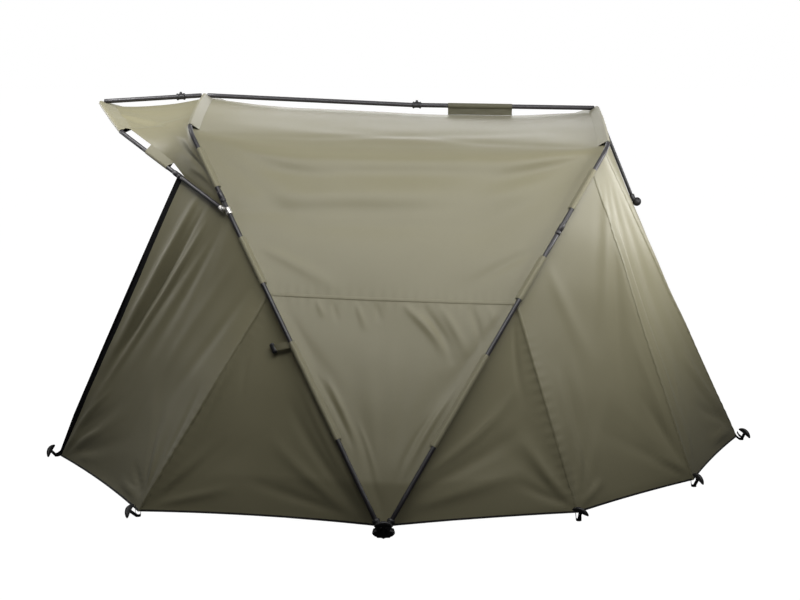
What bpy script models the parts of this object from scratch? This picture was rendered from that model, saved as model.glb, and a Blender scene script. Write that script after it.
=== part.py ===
import math

import bmesh
import bpy
from mathutils import Matrix, Vector
from mathutils.bvhtree import BVHTree

for old in list(bpy.data.objects):
    bpy.data.objects.remove(old, do_unlink=True)

# Driving dimensions, in metres and radians. The hood faces -X, the left side is at -Y.
PIVOT_X = -0.0729
PIVOT_HEIGHT = 0.05
PIVOT_HALF_WIDTH = 1.40
FOOT_SPREAD = 0.023
BEND_HALF_WIDTH = 0.74
BEND_REACH = 1.415
FRONT_APEX_REACH = 1.516
REAR_APEX_REACH = 1.534
BEND_RADIUS = 0.09
ARCH_BULGE = 0.006
APEX_BLEND = 0.10
FRONT_TILT = math.radians(-28.7)
REAR_TILT = math.radians(33.6)
RIB_STEPS = (8, 24)

TUBE_RADIUS = 0.008
SLEEVE_RADIUS = 0.0110
FERRULE_RADIUS = 0.0100
RIDGE_RADIUS = 0.0093
CLOTH = 0.003
LEG_DROP = 0.0119
CLIP_DROP = 0.0160
ARCH_DROP = 0.0134
HOOD_DROP = 0.0145
GAP = 0.0003
HEM_HEIGHT = 0.001

CLIP_STATION = 0.775
HOOD_CLIP_OUT = 0.016
HOOD_CLIP_RISE = 0.004
HOOD_BEND = (-1.0065, 0.43, 1.2577)
HOOD_TIP = (-1.180, 0.0, 1.349)
HOOD_BEND_RADIUS = 0.08
HOOD_BULGE = 0.004
HOOD_RIB_STEPS = (4, 20)
HOOD_EDGE_STATION = 0.40
HOOD_EDGE_LIFT = 0.034
HOOD_LIFT_RISE = 1.6
HOOD_LIFTED = (0.36, 1.10)

SEAM_STATION = 0.56
REAR_SEAM_STATION = 0.93
REAR_SEAM_COLUMNS = 4
LEG_ROWS = 6
ARCH_STEPS = 12
SPAN_STEPS = 10
HOOD_STEPS = 5
HEM_STEPS = 5

ROOF_SAG = 0.014
ROOF_FALL = 0.022
ROOF_FALL_POWER = 4
SIDE_SAG = 0.030
PANEL_SAG = 0.022
CORNER_SAG = 0.010
WALL_SAG = 0.003
HOOD_SAG = 0.016
HEM_SAG = 0.010
GUSSET_HEM_SAG = 0.026
FRONT_HEM_SAG = 0.014
DOOR_BAND = 0.032
DOOR_FOOT_SHARE = 0.5
DOOR_FOOT_END = 0.15
INSIDE = Vector((0.1, 0, 0.5))
TURN_START = 0.75
LEAST_SHIFT = 0.2
LEAST_SLANT = 0.35
FITTING_SIDES = 16

# Corners of the hem on the ground, at the left; the right side mirrors them.
PEG_FRONT = (-1.275, -0.545)
PEG_FRONT_SIDE = (-0.853, -1.165)
PEG_REAR_SIDE = (0.670, -1.180)
PEG_REAR_CORNER = (1.144, -0.835)
PEG_REAR = (1.445, -0.285)
HEM_AT_BLOCK = (0.020, -1.374, 0.026)

RIDGE_DROP = -0.001
TIP_RISE = 0.006
RIDGE_GAP = 0.0007
TIP_GAP = 0.0032
RIDGE_LOCK = (0.106, 1.341)
RIDGE_FRONT_LOCK_X = -0.849
LOCK_RADIUS = 0.014
LOCK_LENGTH = 0.036

RIB_FOOT = 0.003
HOOD_FOOT = 0.020
CLIP_RADIUS = 0.0135
CLIP_LENGTH = 0.034
LUG_RADIUS = 0.0105
LUG_LENGTH = 0.018
ARCH_SLEEVE_REACH = 0.72
HOOD_SLEEVE_REACH = 0.47
TOGGLE_SIZE = (0.020, 0.038, 0.013)
TOGGLE_STAND_OFF = 0.0010
TOGGLE_STATION = 0.425
TOGGLE_ASIDE = (-0.088, 0, -0.006)
EDGE_ROUND = 0.004

STRUT_RADIUS = 0.007
STRUT_GAP = 0.0014
STRUT_STAND_OFF = 0.0014
STRUT_LENGTH = 0.398
KNOB_RADIUS = 0.0185
KNOB_REACH = 0.017
KNOB_OUT = 0.0105

BLOCK_SIZE = (0.064, 0.036, 0.028)
BLOCK_PEG_BASE = 0.012
BLOCK_PEG_LEAN = 12
SOCKET_RADIUS = 0.0125
SOCKET_LENGTH = 0.036

PEG_STEPS = 7
PEG_HEAD_HALF = 0.031
PEG_HEAD_RISE = 0.018
PEG_HEAD_DEPTH = 0.014
PEG_TIP_DEPTH = 0.003
PEG_CROWN = 0.006
PEG_IN_GROUND = 0.03
PEG_STEM_LENGTH = 0.046
PEG_STEM_WIDTH = 0.012
PEG_THICKNESS = 0.011
# each peg's base, its loop's gap to the hem, and the way of its lean, its lean and its head's turn in degrees
PEG_SETS = {
    "door": ((-1.292, -0.543), 0.0022, -145, 40, -60),
    "front_side": ((-0.844, -1.212), 0.0022, -165, 50, -42),
    "rear_side": ((0.662, -1.256), 0.0022, -65, 15, -55),
    "rear_corner": ((1.130, -0.907), 0.0033, -30, 25, 65),
    "rear_end": ((1.451, -0.331), 0.0040, -50, 25, -90),
}
LOOP_WIDTH = 0.014
LOOP_START_WIDTH = 0.003
LOOP_THICKNESS = 0.003
LOOP_HEIGHT = 0.0025

PATCH_SPAN = (0.255, 0.520)
PATCH_STAND_OFF = 0.0006
RAY_ASIDE = 0.0005

SIDES = {"left": -1.0, "right": 1.0}

# Ferrules, as shares of a leg from its foot to its bend.
FRONT_FERRULE = 0.814
REAR_FERRULE = 0.762
HOOD_FERRULE = 0.435
FERRULE_LENGTH = 0.044
FERRULE_TAPER = 0.002
LOCK_SETBACK = 0.002


def material(name, colour, roughness, metallic=0.0):
    made = bpy.data.materials.get(name) or bpy.data.materials.new(name)
    made.use_nodes = True
    shader = made.node_tree.nodes["Principled BSDF"]
    shader.inputs["Base Color"].default_value = (*colour, 1.0)
    shader.inputs["Roughness"].default_value = roughness
    shader.inputs["Metallic"].default_value = metallic
    return made


CLOTH_COLOUR = (0.19, 0.18, 0.13)
SLEEVE_COLOUR = (0.23, 0.22, 0.17)
POLE_COLOUR = (0.035, 0.033, 0.036)
CLIP_COLOUR = (0.70, 0.68, 0.66)
BLACK_COLOUR = (0.012, 0.012, 0.013)

tent = bpy.data.objects.new("bivvy_tent", None)
tent.location = (PIVOT_X, 0.0, 0.0)
bpy.context.collection.objects.link(tent)


def finish(name, mesh_data, finish_material, smooth_angle=35):
    # turn a bmesh into a named object that hangs from the tent's empty
    bmesh.ops.recalc_face_normals(mesh_data, faces=mesh_data.faces)
    mesh = bpy.data.meshes.new(name)
    mesh_data.to_mesh(mesh)
    mesh_data.free()
    mesh.shade_smooth()
    mesh.set_sharp_from_angle(angle=math.radians(smooth_angle))
    mesh.materials.append(finish_material)
    made = bpy.data.objects.new(name, mesh)
    bpy.context.collection.objects.link(made)
    made.parent = tent
    return made


def tube_body(bm, points, reference, outer, inner=0.0, sides=12):
    # a round tube or a solid rod along a path; outer may hold a radius for each point
    outers = outer if isinstance(outer, list) else [outer] * len(points)
    rings = []
    for i, point in enumerate(points):
        steps = []
        if i > 0:
            steps.append((point - points[i - 1]).normalized())
        if i < len(points) - 1:
            steps.append((points[i + 1] - point).normalized())
        along = sum(steps, Vector()).normalized()
        side = along.cross(reference).normalized()
        up = side.cross(along)
        radii = (outers[i], inner) if inner else (outers[i],)
        ring = []
        for radius in radii:
            turn = (2 * math.pi * k / sides for k in range(sides))
            spots = [point + (side * math.cos(a) + up * math.sin(a)) * radius for a in turn]
            ring.append([bm.verts.new(spot) for spot in spots])
        rings.append(ring)
    for first, second in zip(rings, rings[1:]):
        for a, b in zip(first, second):
            for k in range(sides):
                nxt = (k + 1) % sides
                bm.faces.new((a[k], a[nxt], b[nxt], b[k]))
    for end in (rings[0], rings[-1]):
        if inner:
            for k in range(sides):
                nxt = (k + 1) % sides
                bm.faces.new((end[0][k], end[0][nxt], end[1][nxt], end[1][k]))
        else:
            bm.faces.new(end[0])


def guide(made, operation, name, shape):
    # joins a second shape to an object, or cuts it out
    other = finish(name, shape, made.data.materials[0])
    other.hide_render = True
    other.display_type = "WIRE"
    step = made.modifiers.new(name, "BOOLEAN")
    step.operation = operation
    step.solver = "EXACT"
    step.object = other


def box_body(bm, centre, size, axes=None):
    # a box whose own axes are the columns of axes
    made = bmesh.ops.create_cube(bm, size=1.0)["verts"]
    turn = Matrix.Identity(4)
    if axes:
        turn = Matrix([[axes[c][r] for c in range(3)] for r in range(3)]).to_4x4()
    place = Matrix.Translation(centre) @ turn @ Matrix.Diagonal((*size, 1.0))
    bmesh.ops.transform(bm, matrix=place, verts=made)
    return made


class Hoop:
    # A flat hoop: a straight leg at each side, a round bend over it, and two low slopes up to the apex.
    # half is a distance from the middle, to the left, and reach a distance from the hoop's foot line.
    def __init__(self, origin, forward, foot_half, bend, length, bend_radius, bulge, steps):
        self.origin = origin
        self.forward = forward
        self.normal = forward.cross(Vector((0, 1, 0)))
        self.foot = Vector((foot_half, 0.0))
        self.bend = bend
        self.length = length
        self.leg = self.bend - self.foot
        self.arch = Vector((0, length)) - bend
        self.arch_out = Vector((self.arch.y, -self.arch.x)).normalized()
        self.bulge = bulge
        self.bend_radius = bend_radius
        self.bend_steps, self.arch_steps = steps

    def place(self, half, reach):
        return self.origin + self.lift(half, reach)

    def lift(self, half, reach):
        return self.forward * reach + Vector((0, -half, 0))

    def leg_point(self, share, drop=0.0):
        along = self.leg.normalized()
        spot = self.foot + self.leg * share + Vector((-along.y, along.x)) * drop
        return self.place(spot.x, spot.y)

    def arch_point(self, share, drop=0.0):
        # share runs from 1 at the left bend, through 0 at the apex, to -1 at the right bend
        part = abs(share)
        spot = self.bend + self.arch * (1 - part) + self.arch_out * (4 * part * (1 - part) * self.bulge)
        out = self.arch_normal(share) * drop
        return self.place(math.copysign(spot.x, share) - out.x, spot.y - out.y)

    def arch_normal(self, share):
        # square to the slope of the arch, and turning over at the apex
        lean = max(-1.0, min(1.0, share / APEX_BLEND))
        return Vector((self.arch_out.x * lean, self.arch_out.y)).normalized()

    def bend_arc(self):
        # the rounded bend, from the leg to the arch, and how far it reaches back from its corner
        leg = self.leg.normalized()
        turn = leg.angle(self.arch + self.arch_out * (4 * self.bulge))
        reach = self.bend_radius * math.tan(turn / 2)
        inward = Vector((-leg.y, leg.x))
        centre = self.bend - leg * reach + inward * self.bend_radius
        arc = []
        for i in range(self.bend_steps + 1):
            a = turn * i / self.bend_steps
            spot = centre + (leg * math.sin(a) - inward * math.cos(a)) * self.bend_radius
            arc.append(self.place(spot.x, spot.y))
        return arc, reach

    def bend_point(self, drop=0.0):
        arc, reach = self.bend_arc()
        leg = self.leg.normalized()
        out = (Vector((leg.y, -leg.x)) + self.arch_normal(1)).normalized()
        return arc[self.bend_steps // 2] - self.lift(out.x, out.y) * drop

    def edge(self, share, drop):
        # along the whole hoop: 1 at the left foot, 0 at the apex, -1 at the right foot
        arch = self.arch.length
        reach = abs(share) * (self.leg.length + arch)
        if reach <= arch:
            spot = self.arch_point(reach / arch, drop)
        else:
            spot = self.leg_point(1 - (reach - arch) / self.leg.length, drop)
        return spot if share >= 0 else mirrored(spot)

    def top_path(self):
        # over the bends and the arch, from the left leg to the right
        left, reach = self.bend_arc()
        trim = reach / self.arch.length
        middle = [self.arch_point(s) for s in even(1 - trim, trim - 1, self.arch_steps)[1:-1]]
        return left + middle + [mirrored(p) for p in reversed(left)]


def mirrored(point):
    return Vector((point.x, -point.y, point.z))


def on_side(point, side):
    return Vector((point.x, point.y * -SIDES[side], point.z))


def even(first, last, steps):
    return [first + (last - first) * i / steps for i in range(steps + 1)]


def main_rib(tilt, foot_x, apex_reach):
    # a rib that turns about the pivot
    forward = Vector((math.sin(tilt), 0, math.cos(tilt)))
    bend = Vector((BEND_HALF_WIDTH, BEND_REACH))
    origin = Vector((foot_x, 0, PIVOT_HEIGHT))
    return Hoop(origin, forward, PIVOT_HALF_WIDTH, bend, apex_reach, BEND_RADIUS, ARCH_BULGE, RIB_STEPS)


def hood_hoop():
    # the hood rib lies in one plane that rises forward from its two clips on the front rib
    clip = front.leg_point(CLIP_STATION) + Vector((-HOOD_CLIP_OUT, 0, HOOD_CLIP_RISE))
    origin = Vector((clip.x, 0, clip.z))
    tip = Vector(HOOD_TIP) - origin
    forward = tip.normalized()
    bend = Vector(HOOD_BEND) - origin
    reach = Vector((HOOD_BEND[1], bend.dot(forward)))
    return Hoop(origin, forward, -clip.y, reach, tip.length, HOOD_BEND_RADIUS, HOOD_BULGE, HOOD_RIB_STEPS)


front = main_rib(FRONT_TILT, -FOOT_SPREAD, FRONT_APEX_REACH)
rear = main_rib(REAR_TILT, FOOT_SPREAD, REAR_APEX_REACH)
hood = hood_hoop()


# Stations of the cover under each rib: the legs' rows, the bend, and the arch.
def leg_stations(rib, shares):
    return [rib.leg_point(s, CLIP_DROP if s == CLIP_STATION else LEG_DROP) for s in shares]


def arch_stations(rib):
    inner = [rib.arch_point(1 - 2 * i / ARCH_STEPS, ARCH_DROP) for i in range(1, ARCH_STEPS)]
    bend = rib.bend_point(ARCH_DROP)
    return [bend, *inner, mirrored(bend)]


lower_shares = even(0.0, SEAM_STATION, LEG_ROWS)[1:]
half_rows = LEG_ROWS // 2
front_upper = even(SEAM_STATION, CLIP_STATION, half_rows)[1:] + even(CLIP_STATION, 1.0, half_rows)[1:-1]
rear_upper = even(SEAM_STATION, REAR_SEAM_STATION, REAR_SEAM_COLUMNS)[1:]
rear_upper += even(REAR_SEAM_STATION, 1.0, LEG_ROWS - REAR_SEAM_COLUMNS)[1:-1]

hem_rear = Vector(HEM_AT_BLOCK)
hem_front = Vector((-hem_rear.x, hem_rear.y, hem_rear.z))
front_arch = arch_stations(front)
rear_arch = arch_stations(rear)
front_line = [hem_front, *leg_stations(front, lower_shares + front_upper), front_arch[0]]
rear_line = [hem_rear, *leg_stations(rear, lower_shares + rear_upper), rear_arch[0]]


class Cover:
    # All panels share one surface, so that neighbours meet edge to edge.
    def __init__(self):
        self.bm = bmesh.new()
        self.panel = self.bm.faces.layers.int.new("panel")
        self.verts = {}
        self.names = []

    def vert(self, point):
        key = tuple(round(c, 5) for c in point)
        if key not in self.verts:
            self.verts[key] = self.bm.verts.new(point)
        return self.verts[key]

    def add(self, name, grid):
        self.names.append(name)
        for low, high in zip(grid, grid[1:]):
            for i in range(len(low) - 1):
                corners = []
                for point in (low[i], low[i + 1], high[i + 1], high[i]):
                    vert = self.vert(point)
                    if vert not in corners:
                        corners.append(vert)
                if len(corners) > 2:
                    self.bm.faces.new(corners)[self.panel] = len(self.names) - 1

    def add_pair(self, name, grid):
        self.add(name + "_left", grid)
        self.add(name + "_right", [[mirrored(p) for p in row] for row in grid])

    def close(self):
        bmesh.ops.recalc_face_normals(self.bm, faces=self.bm.faces)
        roof = max(self.bm.faces, key=lambda f: f.calc_center_median().z)
        if roof.normal.z < 0:
            bmesh.ops.reverse_faces(self.bm, faces=self.bm.faces)
        self.bm.normal_update()
        self.tree = BVHTree.FromBMesh(self.bm)

    def solid(self, name, finish_material):
        # the panel's faces with the cloth's thickness, drawn in a little at its own outline
        index = self.names.index(name)
        faces = [f for f in self.bm.faces if f[self.panel] == index]
        edges = {}
        for face in faces:
            for edge in face.edges:
                edges.setdefault(edge, []).append(face)
        outline = [(edge, owner[0]) for edge, owner in edges.items() if len(owner) == 1]
        shift = {}
        for edge, face in outline:
            along = (edge.verts[1].co - edge.verts[0].co).normalized()
            inward = face.normal.cross(along)
            if inward.dot(face.calc_center_median() - edge.verts[0].co) < 0:
                inward.negate()
            for vert in edge.verts:
                shift.setdefault(vert, []).append(inward)
        spot = {}
        for face in faces:
            for vert in face.verts:
                point = vert.co.copy()
                if vert in shift:
                    drawn = shift[vert]
                    total = sum(drawn, Vector())
                    if total.length > LEAST_SHIFT:
                        total.normalize()
                        least = max(LEAST_SLANT, min(total.dot(d) for d in drawn))
                        point += total * (GAP / 2 / least)
                spot[vert] = point
        bm = bmesh.new()
        outer = {v: bm.verts.new(p + v.normal * CLOTH / 2) for v, p in spot.items()}
        inner = {v: bm.verts.new(p - v.normal * CLOTH / 2) for v, p in spot.items()}
        for face in faces:
            bm.faces.new([outer[v] for v in face.verts])
            bm.faces.new([inner[v] for v in reversed(face.verts)])
        for edge, face in outline:
            a, b = edge.verts
            bm.faces.new((outer[a], outer[b], inner[b], inner[a]))
        bmesh.ops.triangulate(bm, faces=bm.faces)
        return finish(name, bm, finish_material, 60)


def sagging_span(start_line, end_line, inward_a, inward_b, sags, steps):
    # rows that run from one rib to the other and hang a little inward between them
    grid = []
    for a, b, n_a, n_b, sag in zip(start_line, end_line, inward_a, inward_b, sags):
        row = []
        for i in range(steps + 1):
            u = i / steps
            inward = (n_a * (1 - u) + n_b * u).normalized()
            row.append(a.lerp(b, u) + inward * (4 * u * (1 - u) * sag))
        grid.append(row)
    return grid


def inward_along(rib, count, arch=False):
    leg = rib.leg.normalized()
    found = []
    for i in range(count):
        if arch:
            out = rib.arch_normal(1 - 2 * i / (count - 1))
            found.append(rib.lift(-out.x, -out.y))
        else:
            blend = max(0.0, (i / (count - 1) - TURN_START) / (1 - TURN_START)) ** 2
            low = Vector((-leg.y, leg.x))
            top = -rib.arch_normal(1)
            mixed = (low * (1 - blend) + top * blend).normalized()
            found.append(rib.lift(mixed.x, mixed.y))
    return found


def curve_between(a, b, steps, sag=0.0, towards=None):
    points = []
    for i in range(steps + 1):
        u = i / steps
        point = a.lerp(b, u)
        if sag:
            point = point + towards * (4 * u * (1 - u) * sag)
        points.append(point)
    return points


def hem_curve(a, b, steps, sag=HEM_SAG):
    # the hem is drawn in towards the inside between two pegs
    along = (b - a).normalized()
    towards = Vector((-along.y, along.x, 0))
    middle = (a + b) / 2
    if towards.dot(INSIDE - middle) < 0:
        towards.negate()
    return curve_between(a, b, steps, sag, towards)


def patch(bottom, top, left, right, sag=PANEL_SAG):
    # a four-sided sheet between its edges, drawn in a little at its middle
    rows = len(left) - 1
    columns = len(bottom) - 1
    grid = []
    for j in range(rows + 1):
        v = j / rows
        row = []
        for i in range(columns + 1):
            u = i / columns
            point = bottom[i] * (1 - v) + top[i] * v + left[j] * (1 - u) + right[j] * u
            point -= bottom[0] * (1 - u) * (1 - v) + bottom[-1] * u * (1 - v)
            point -= top[0] * (1 - u) * v + top[-1] * u * v
            row.append(point)
        grid.append(row)
    across = (bottom[-1] - bottom[0]) + (top[-1] - top[0])
    up = (left[-1] - left[0]) + (right[-1] - right[0])
    inward = across.cross(up).normalized()
    middle = grid[rows // 2][columns // 2]
    if inward.dot(INSIDE - middle) < 0:
        inward.negate()
    for j, row in enumerate(grid):
        for i in range(len(row)):
            u = i / columns
            v = j / rows
            row[i] = row[i] + inward * (16 * u * (1 - u) * v * (1 - v) * sag)
    return grid


def ground(spot):
    return Vector((*spot, HEM_HEIGHT))


cover = Cover()
rows_total = 2 * LEG_ROWS
in_front = inward_along(front, rows_total + 1)
in_rear = inward_along(rear, rows_total + 1)
side_sags = [SIDE_SAG * math.sin(0.5 * math.pi * i / rows_total) for i in range(rows_total + 1)]
side_grid = sagging_span(front_line, rear_line, in_front, in_rear, side_sags, SPAN_STEPS)
cover.add_pair("side_panel_lower", side_grid[:LEG_ROWS + 1])
cover.add_pair("side_panel_upper", side_grid[LEG_ROWS:])

arch_in_front = inward_along(front, ARCH_STEPS + 1, arch=True)
arch_in_rear = inward_along(rear, ARCH_STEPS + 1, arch=True)
arch_in_front[0], arch_in_rear[0] = in_front[-1], in_rear[-1]
arch_in_front[-1], arch_in_rear[-1] = mirrored(in_front[-1]), mirrored(in_rear[-1])
roof_sags = []
for i in range(ARCH_STEPS + 1):
    crown = math.sin(math.pi * i / ARCH_STEPS)
    roof_sags.append(side_sags[-1] + (ROOF_SAG - side_sags[-1]) * crown)
roof_grid = sagging_span(front_arch, rear_arch, arch_in_front, arch_in_rear, roof_sags, SPAN_STEPS)
# Away from the two ribs the ridge of the roof falls below their apexes.
for i, row in enumerate(roof_grid):
    crown = 1 - abs(1 - 2 * i / ARCH_STEPS)
    for j, point in enumerate(row):
        point.z -= ROOF_FALL * crown ** 2 * (1 - (2 * j / SPAN_STEPS - 1) ** ROOF_FALL_POWER)
cover.add("roof_panel", roof_grid)

# The hood reaches from the front rib to the hood rib, and keeps inside the hood rib.
def hood_line():
    leg = hood.leg.length
    path = leg + hood.arch.length
    edge = 1 - HOOD_EDGE_STATION * leg / path
    shares = even(1.0, edge, half_rows)[:-1] + even(edge, -edge, ARCH_STEPS)
    shares += even(-edge, -1.0, half_rows)[1:]
    first, last = HOOD_LIFTED
    line = []
    for share in shares:
        part = ((1 - abs(share)) * path / leg - first) / (last - first)
        lift = HOOD_EDGE_LIFT * min(1.0, HOOD_LIFT_RISE * math.sin(math.pi * min(1.0, max(0.0, part))))
        line.append(hood.edge(share, HOOD_DROP) + Vector((0, 0, lift)))
    return line


hood_edge = hood_line()
clip_row = LEG_ROWS + half_rows
rib_run = front_line[clip_row:-1] + front_arch + [mirrored(p) for p in reversed(front_line[clip_row:-1])]
hood_edge[0] = rib_run[0]
hood_edge[-1] = rib_run[-1]
hood_grid = []
for i, (a, b) in enumerate(zip(rib_run, hood_edge)):
    sag = HOOD_SAG * math.sin(math.pi * i / (len(rib_run) - 1)) ** 2
    hood_grid.append(curve_between(a, b, HOOD_STEPS, sag, Vector((0, 0, -1))))
hood_grid[0] = [rib_run[0]] * (HOOD_STEPS + 1)
hood_grid[-1] = [rib_run[-1]] * (HOOD_STEPS + 1)
cover.add("hood_panel", hood_grid)

front_corner = ground(PEG_FRONT)
front_side = ground(PEG_FRONT_SIDE)
rear_side = ground(PEG_REAR_SIDE)
rear_corner = ground(PEG_REAR_CORNER)
rear_end = ground(PEG_REAR)

front_seam = curve_between(front_side, front_line[LEG_ROWS], LEG_ROWS)
front_point = [front_line[LEG_ROWS]] * (HEM_STEPS + 1)
block_hem = hem_curve(hem_front, front_side, HEM_STEPS, GUSSET_HEM_SAG)
cover.add_pair("front_gusset", patch(block_hem, front_point, front_line[:LEG_ROWS + 1], front_seam))

door_top = hood_edge[half_rows]
door_edge = curve_between(front_corner, door_top, LEG_ROWS)
front_top = front_line[LEG_ROWS:clip_row + 1] + hood_edge[1:half_rows + 1]
front_hem = hem_curve(front_side, front_corner, 2 * half_rows, FRONT_HEM_SAG)
front_grid = patch(front_hem, front_top, front_seam, door_edge)
cover.add_pair("front_panel", front_grid)

rear_seam = curve_between(rear_side, rear_line[LEG_ROWS], LEG_ROWS)
rear_point = [rear_line[LEG_ROWS]] * (HEM_STEPS + 1)
rear_hem = hem_curve(hem_rear, rear_side, HEM_STEPS)
cover.add_pair("rear_gusset", patch(rear_hem, rear_point, rear_line[:LEG_ROWS + 1], rear_seam))

split = LEG_ROWS + REAR_SEAM_COLUMNS
corner_seam = curve_between(rear_corner, rear_line[split], LEG_ROWS)
side_hem = hem_curve(rear_side, rear_corner, REAR_SEAM_COLUMNS)
cover.add_pair("rear_panel", patch(side_hem, rear_line[LEG_ROWS:split + 1], rear_seam, corner_seam))

end_seam = curve_between(rear_end, rear_line[-1], LEG_ROWS)
corner_hem = hem_curve(rear_corner, rear_end, LEG_ROWS - REAR_SEAM_COLUMNS)
cover.add_pair("rear_corner_panel", patch(corner_hem, rear_line[split:], corner_seam, end_seam, CORNER_SAG))

end_hem = hem_curve(rear_end, mirrored(rear_end), ARCH_STEPS)
wall_grid = patch(end_hem, rear_arch, end_seam, [mirrored(p) for p in end_seam], WALL_SAG)
cover.add("rear_wall", wall_grid)


def door_band_grid():
    # the bound edge of the doorway goes on from the front panel
    grid = []
    for j, row in enumerate(front_grid):
        outward = (row[-1] - row[-2]).normalized()
        outward.z = 0
        outward.normalize()
        rise = min(1.0, j / LEG_ROWS / DOOR_FOOT_END)
        width = DOOR_BAND * (DOOR_FOOT_SHARE + (1 - DOOR_FOOT_SHARE) * rise)
        grid.append([row[-1], row[-1] + outward * width])
    return grid


cover.add_pair("door_edge", door_band_grid())
cover.close()

cloth = material("coated_cloth", CLOTH_COLOUR, 0.55)
band = material("door_band", BLACK_COLOUR, 0.6)
for panel_name in cover.names:
    cover.solid(panel_name, band if panel_name.startswith("door_edge") else cloth)


# Poles: a straight leg each side, and a hoop that ends in a ferrule over each leg.
pole = material("pole_tube", POLE_COLOUR, 0.38, 0.3)
sleeve = material("pole_sleeve", SLEEVE_COLOUR, 0.7)
metal = material("clip_metal", CLIP_COLOUR, 0.35, 0.8)
black = material("black_moulding", BLACK_COLOUR, 0.5)


def leg_and_hoop(name, rib, foot, ferrule):
    leg_size = rib.leg.length
    half = FERRULE_LENGTH / 2 / leg_size
    for side in SIDES:
        bm = bmesh.new()
        points = [on_side(rib.leg_point(s), side) for s in (foot, ferrule - half - GAP / leg_size)]
        tube_body(bm, points, rib.normal, TUBE_RADIUS)
        finish(f"{name}_leg_{side}", bm, pole)
    ends = [rib.leg_point(ferrule - half)]
    ends.append(rib.leg_point(ferrule + half))
    ends.append(rib.leg_point(ferrule + half + FERRULE_TAPER / leg_size))
    path = ends + rib.top_path() + [mirrored(p) for p in reversed(ends)]
    radii = [TUBE_RADIUS] * len(path)
    for i in (0, 1, -1, -2):
        radii[i] = FERRULE_RADIUS
    bm = bmesh.new()
    tube_body(bm, path, rib.normal, radii)
    finish(f"{name}_arch", bm, pole)


leg_and_hoop("front_rib", front, RIB_FOOT, FRONT_FERRULE)
leg_and_hoop("rear_rib", rear, RIB_FOOT, REAR_FERRULE)
leg_and_hoop("hood_rib", hood, HOOD_FOOT, HOOD_FERRULE)


def arch_sleeve(name, rib, reach):
    path = [p for p in rib.top_path() if abs(p.y) <= reach]
    bm = bmesh.new()
    tube_body(bm, path, rib.normal, SLEEVE_RADIUS, TUBE_RADIUS + GAP)
    finish(name, bm, sleeve)


arch_sleeve("front_arch_sleeve", front, ARCH_SLEEVE_REACH)
arch_sleeve("rear_arch_sleeve", rear, ARCH_SLEEVE_REACH)
arch_sleeve("hood_arch_sleeve", hood, HOOD_SLEEVE_REACH)

# Ridge poles: they butt on the sleeves of the three arches, and each passes through a lock.
front_apex = front.place(0, FRONT_APEX_REACH)
rear_apex = rear.place(0, REAR_APEX_REACH)
tip_seat = hood.place(0, hood.length) + Vector((0, 0, TIP_RISE))
drop = Vector((0, 0, RIDGE_DROP))
lock_spot = Vector((RIDGE_LOCK[0], 0, RIDGE_LOCK[1]))
across = Vector((0, 1, 0))


def ridge_pole(name, path, gaps):
    ends = list(path)
    for i, step, gap in ((0, 1, gaps[0]), (-1, -2, gaps[1])):
        along = (path[step] - path[i]).normalized()
        ends[i] = path[i] + along * (SLEEVE_RADIUS + gap) / abs(along.x)
    bm = bmesh.new()
    tube_body(bm, ends, across, RIDGE_RADIUS)
    finish(name, bm, pole)


def ridge_lock(name, spot, towards):
    along = (towards - spot).normalized() * (LOCK_LENGTH / 2)
    bm = bmesh.new()
    tube_body(bm, [spot - along, spot + along], across, LOCK_RADIUS, RIDGE_RADIUS + GAP, FITTING_SIDES)
    finish(name, bm, black)


front_run = [tip_seat, front_apex - drop]
rear_run = [front_apex - drop, lock_spot, rear_apex - drop]
ridge_pole("ridge_pole_front", front_run, (TIP_GAP, RIDGE_GAP))
ridge_pole("ridge_pole_rear", rear_run, (RIDGE_GAP, RIDGE_GAP))
share = (RIDGE_FRONT_LOCK_X - front_apex.x) / (tip_seat.x - front_apex.x)
ridge_lock("ridge_lock_front", front_run[1].lerp(tip_seat, share), tip_seat)
lock_shift = (rear_run[2] - lock_spot).normalized() * (LOCK_LENGTH / 2 + LOCK_SETBACK)
ridge_lock("ridge_lock_rear", lock_spot + lock_shift, rear_run[2])

# Rear strut: it lies down the middle of the rear wall from the rear arch and ends in a round knob.
wall_top = rear_arch[ARCH_STEPS // 2]
wall_foot = end_hem[ARCH_STEPS // 2]
wall_down = (wall_foot - wall_top).normalized()
wall_out = Vector((-wall_down.z, 0, wall_down.x))
strut_line = wall_top + wall_out * (CLOTH / 2 + STRUT_RADIUS + STRUT_STAND_OFF)
strut_start = (rear_apex - strut_line).dot(wall_down) + SLEEVE_RADIUS + STRUT_GAP
strut_top = strut_line + wall_down * strut_start
strut_end = strut_top + wall_down * STRUT_LENGTH
bm = bmesh.new()
tube_body(bm, [strut_top, strut_end], across, STRUT_RADIUS)
strut = finish("rear_strut", bm, black)
bm = bmesh.new()
knob_centre = strut_end + wall_down * KNOB_REACH + wall_out * KNOB_OUT
turn = Matrix.Translation(knob_centre) @ wall_down.to_track_quat("Z", "Y").to_matrix().to_4x4()
bmesh.ops.create_uvsphere(bm, u_segments=16, v_segments=10, radius=KNOB_RADIUS, matrix=turn)
guide(strut, "UNION", "strut_knob", bm)


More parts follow.
